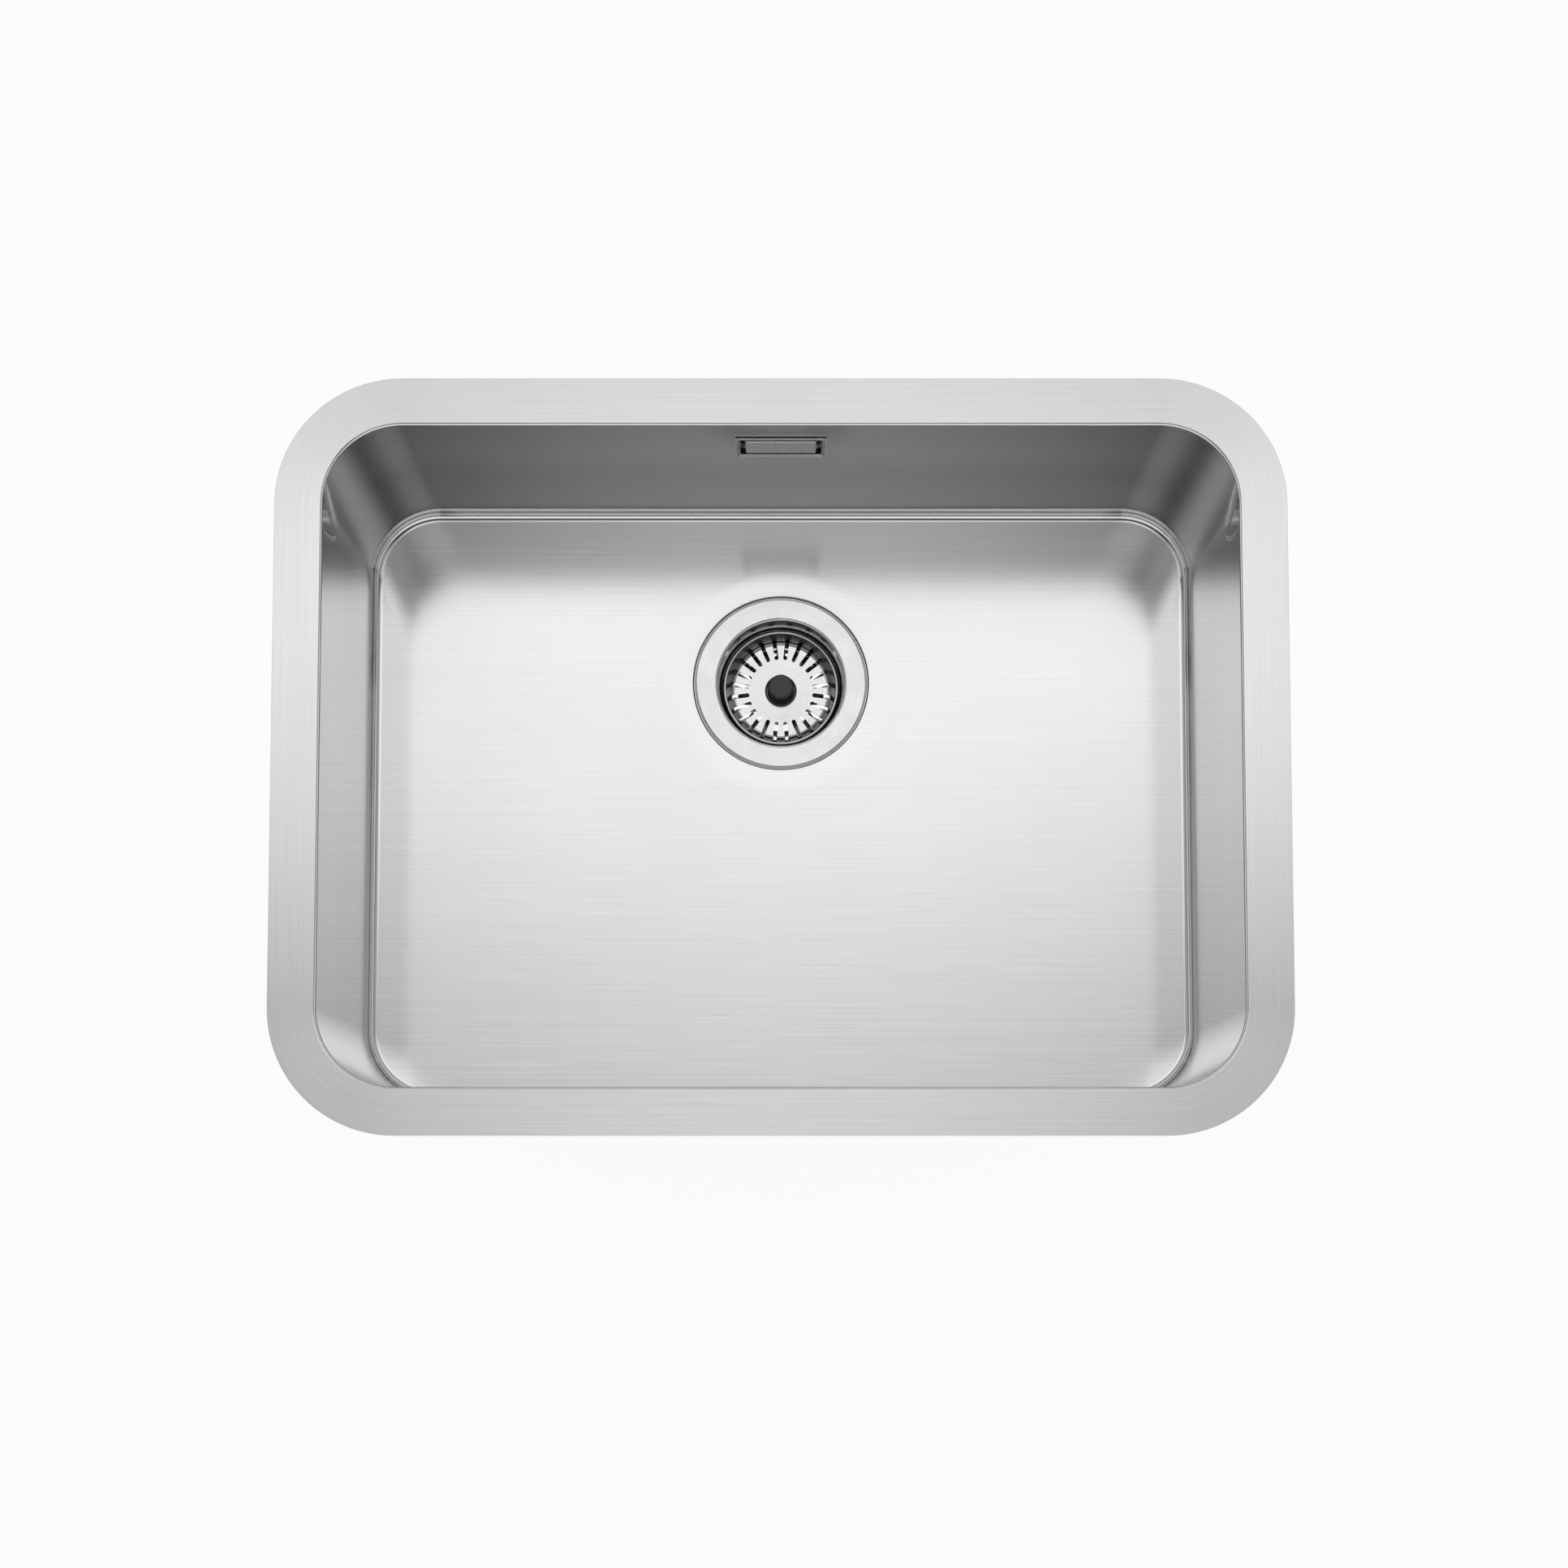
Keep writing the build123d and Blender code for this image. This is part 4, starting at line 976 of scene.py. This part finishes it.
def band_ridges(centre, lean):
    """The slanting ridges that are pressed into a clip's band for its screw to turn on."""
    g = Grown(
        "band_ridges",
        Ridges=31,
        Radius=CLIP_RADIUS,
        Start=0.52,
        Sweep=5.25,
        Ridge_length=0.0056,
        Ridge_thickness=0.00032,
        Slant=0.22,
        Lean=lean,
        Place_x=centre[0],
        Place_y=centre[1],
        Place_z=centre[2],
    )
    size = g.sizes
    arc = {
        "Resolution": size["Ridges"],
        "Radius": size["Radius"],
        "Start Angle": size["Start"],
        "Sweep Angle": size["Sweep"],
    }
    round_band = g.add("GeometryNodeCurveArc", arc)
    spots = g.tree.nodes.new("GeometryNodeCurveToPoints")
    spots.mode = "EVALUATED"
    g.tree.links.new(round_band, spots.inputs[0])

    half = g.maths("MULTIPLY", size["Ridge length"], 0.5)
    aside = g.maths("MULTIPLY", size["Slant"], half)
    foot = g.add("ShaderNodeCombineXYZ", {"Y": aside, "Z": g.maths("MULTIPLY", half, -1.0)})
    head = g.add("ShaderNodeCombineXYZ", {"Y": g.maths("MULTIPLY", aside, -1.0), "Z": half})
    spine = g.add("GeometryNodeCurvePrimitiveLine", {"Start": foot, "End": head})
    spine = g.add("GeometryNodeResampleCurve", {"Curve": spine, "Count": 7}, mode="COUNT")
    share = g.tree.nodes.new("GeometryNodeSplineParameter").outputs["Factor"]
    from_end = g.maths("MINIMUM", share, g.maths("SUBTRACT", 1.0, share))
    taper = {"Value": from_end, 1: 0.0, 2: 0.17, 3: 0.0, 4: size["Ridge thickness"]}
    swell = g.add("ShaderNodeMapRange", taper)
    ring = g.add("GeometryNodeCurvePrimitiveCircle", {"Resolution": 8, "Radius": 1.0})
    skin = {"Curve": spine, "Profile Curve": ring, "Scale": swell, "Fill Caps": True}
    ridge = g.add("GeometryNodeCurveToMesh", skin)
    index = g.tree.nodes.new("GeometryNodeInputIndex").outputs[0]
    last = g.maths("SUBTRACT", size["Ridges"], 1.0)
    turn = g.maths("MULTIPLY_ADD", g.maths("DIVIDE", index, last), size["Sweep"], size["Start"])
    rotation = g.add("ShaderNodeCombineXYZ", {"Z": turn})
    repeated = {"Points": spots.outputs[0], "Instance": ridge, "Rotation": rotation}
    ridges = g.add("GeometryNodeInstanceOnPoints", repeated)
    place = g.add("ShaderNodeCombineXYZ", {"X": size["Place x"], "Y": size["Place y"], "Z": size["Place z"]})
    tilt = g.add("ShaderNodeCombineXYZ", {"X": size["Lean"]})
    g.close(g.add("GeometryNodeTransform", {"Geometry": ridges, "Translation": place, "Rotation": tilt}))
    return g


# ---------------------------------------------------------------- camera, floor and light


def studio():
    """The photograph's camera, a pale floor and the light."""
    camera_data = bpy.data.cameras.new("camera")
    camera_data.sensor_width = SENSOR
    camera_data.lens = LENS
    camera_data.shift_x, camera_data.shift_y = LENS_SHIFT
    camera = bpy.data.objects.new("camera", camera_data)
    camera.location = CAMERA_PLACE
    camera.rotation_euler = (CAMERA_TILT, 0.0, 0.0)
    bpy.context.scene.collection.objects.link(camera)
    bpy.context.scene.camera = camera

    reach = FLOOR_REACH
    level = CAD_BOX[0].z - FLOOR_GAP
    corners = [(-reach, -reach, level), (reach, -reach, level), (reach, reach, level), (-reach, reach, level)]
    floor_mesh = bpy.data.meshes.new("floor")
    floor_mesh.from_pydata(corners, [], [(0, 1, 2, 3)])
    floor = bpy.data.objects.new("floor", floor_mesh)
    bpy.context.scene.collection.objects.link(floor)
    floor_mesh.materials.append(pale_floor())

    world_light()


def pale_floor():
    """White floor that keeps a soft shadow. Camera, gloss and clear things see most of it as plain white."""
    material = bpy.data.materials.new("floor_white")
    material.use_nodes = True
    material.node_tree.nodes.clear()
    n = Nodes(material.node_tree)
    rays = n.add("ShaderNodeLightPath").outputs
    seen = n.maths("MAXIMUM", rays["Is Camera Ray"], rays["Is Glossy Ray"])
    seen = n.maths("MAXIMUM", seen, rays["Is Transmission Ray"])
    matt = n.add("ShaderNodeBsdfDiffuse", (0.9, 0.9, 0.9, 1))
    glow = n.add("ShaderNodeEmission", (1, 1, 1, 1), FLOOR_GLOW)
    mix = n.add("ShaderNodeMixShader", n.product(seen, FLOOR_SHARE), matt.outputs[0], glow.outputs[0])
    n.add("ShaderNodeOutputMaterial", mix.outputs[0])
    return material


def world_light():
    """A white room with a dimmer ceiling. Overhead are two soft boxes, a bright front end and dark cards.

    The steel mirrors all of it. Each stands in a direction, in degrees from straight up.
    """
    world = bpy.data.worlds.new("studio")
    bpy.context.scene.world = world
    world.use_nodes = True
    world.node_tree.nodes.clear()
    n = Nodes(world.node_tree)
    x, y, z = n.split(n.add("ShaderNodeTexCoord").outputs["Generated"])
    sideways = n.product(n.maths("ARCTAN2", n.maths("ABSOLUTE", x), z), math.degrees(1))
    rearwards = n.product(n.maths("ARCTAN2", y, z), math.degrees(1))

    def soft_patch(centre, half_width, half_length, strength):
        across = n.maths("DIVIDE", sideways, half_width)
        along = n.maths("DIVIDE", n.sum(rearwards, -centre), half_length)
        distance = n.maths("SQRT", n.sum(n.product(across, across), n.product(along, along)))
        return n.span(distance, 0.2, 1.0, strength, 0.0, smooth=True)

    base_level = n.span(rearwards, 10.0, 15.0, 0.41, 0.48, smooth=True)
    far_front = n.span(rearwards, -58.0, -40.0, 1.0, 0.0, smooth=True)
    soft_boxes = n.sum(soft_patch(*REAR_BOX), soft_patch(*FRONT_BOX))
    side_cards = n.span(sideways, 46.0, 54.0, 0.0, 0.34, smooth=True)
    cards = n.sum(soft_patch(*FRONT_CARD), side_cards)
    ceiling = n.sum(base_level, far_front, soft_boxes)
    ceiling = n.maths("MAXIMUM", n.maths("SUBTRACT", ceiling, cards), 0.0)
    overhead = n.span(z, 0.3, 0.6, smooth=True)
    strength = n.maths("MULTIPLY_ADD", n.sum(ceiling, -1.0), overhead, 1.0)
    light = n.add("ShaderNodeBackground", (1, 1, 1, 1), strength)
    n.add("ShaderNodeOutputWorld", light.outputs[0])


# ---------------------------------------------------------------- making and dressing


def dress(name, material):
    """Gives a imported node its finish."""
    for slot in CAD[name].material_slots:
        slot.material = material


bpy.context.scene.view_settings.view_transform = "Standard"
studio()

bowl_piece = bowl()
bowl_piece.data.materials.append(brushed_sheet())
bowl_piece.data.materials.append(mill_steel())
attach(bowl_piece, "sink")
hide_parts("bowl_shell")

grey_plastic = moulded("grey_hose", (0.56, 0.57, 0.58), 0.45)
white_plastic = moulded("white_moulding", (0.80, 0.80, 0.78), 0.42)
hose = ribbed_hose().grow("ribbed_hose", grey_plastic, (HOSE_TOP, HOSE_CORNER, HOSE_INLET))
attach(hose, "sink")
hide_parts("overflow_hose")
thread = pipe_thread().grow("outlet_thread", white_plastic)
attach(thread, "sink")

zinc = plain_steel("zinc_plated", (0.68, 0.70, 0.72), 0.28)
for name, centre, lean in (("upper_ridges", CLIP_UPPER, DRAFT), ("lower_ridges", CLIP_LOWER, -math.pi / 2)):
    ridges = band_ridges(centre, lean).grow(name, zinc)
    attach(ridges, "sink")

satin = plain_steel("satin_sheet", (0.82, 0.82, 0.83), 0.30, (30, 900, 900))
# The overflow frame's finish has painted shade where it meets the wall.
bright = frame_steel_with_painted_shade("overflow_frame", (0.90, 0.90, 0.91), 0.28)
spring = plain_steel("spring_strip", (0.66, 0.67, 0.69), 0.2)
mirror = turned_steel("polished_cup", 0.79, 0.09, 0.27, 0.0000006)
basket_mirror = turned_steel("polished_basket", 0.64, 0.19, 0.19, 0.0000004)
basket_piece = basket()
basket_piece.data.materials.append(basket_mirror)
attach(basket_piece, "basket")
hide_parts("basket")
finishes = {
    "strainer_cup": mirror,
    "waste_screw": mirror,
    "basket": basket_mirror,
    "basket_post": basket_mirror,
    "basket_nut": zinc,
    "hose_clip_upper": zinc,
    "hose_clip_lower": zinc,
    "clip_screws": zinc,
    "overflow_screws": zinc,
    "catch_ring": spring,
    "overflow_clips": spring,
    "overflow_frame": bright,
    "overflow_cover": satin,
    "screw_insert": plain_steel("turned_brass", (0.72, 0.52, 0.24), 0.25),
    "basket_knob": moulded("black_knob", (0.05, 0.052, 0.057), 0.30),
    "waste_body": white_plastic,
    "overflow_housing": moulded("housing_moulding", (0.80, 0.80, 0.78), 0.42),
    "post_catch": moulded("catch_moulding", (0.78, 0.78, 0.76), 0.4),
}
rubber = moulded("black_seal", (0.045, 0.045, 0.05), 0.55)
pad = moulded("sound_pad", (0.13, 0.13, 0.14), 0.7, 0.00006, 500.0)
for name in ("upper_seal", "lower_seal", "overflow_seal", "screw_washer", "basket_seal"):
    finishes[name] = rubber
for name in ("base_pad_left", "base_pad_right", "base_pad_front"):
    finishes[name] = pad
for name, material in finishes.items():
    dress(name, material)
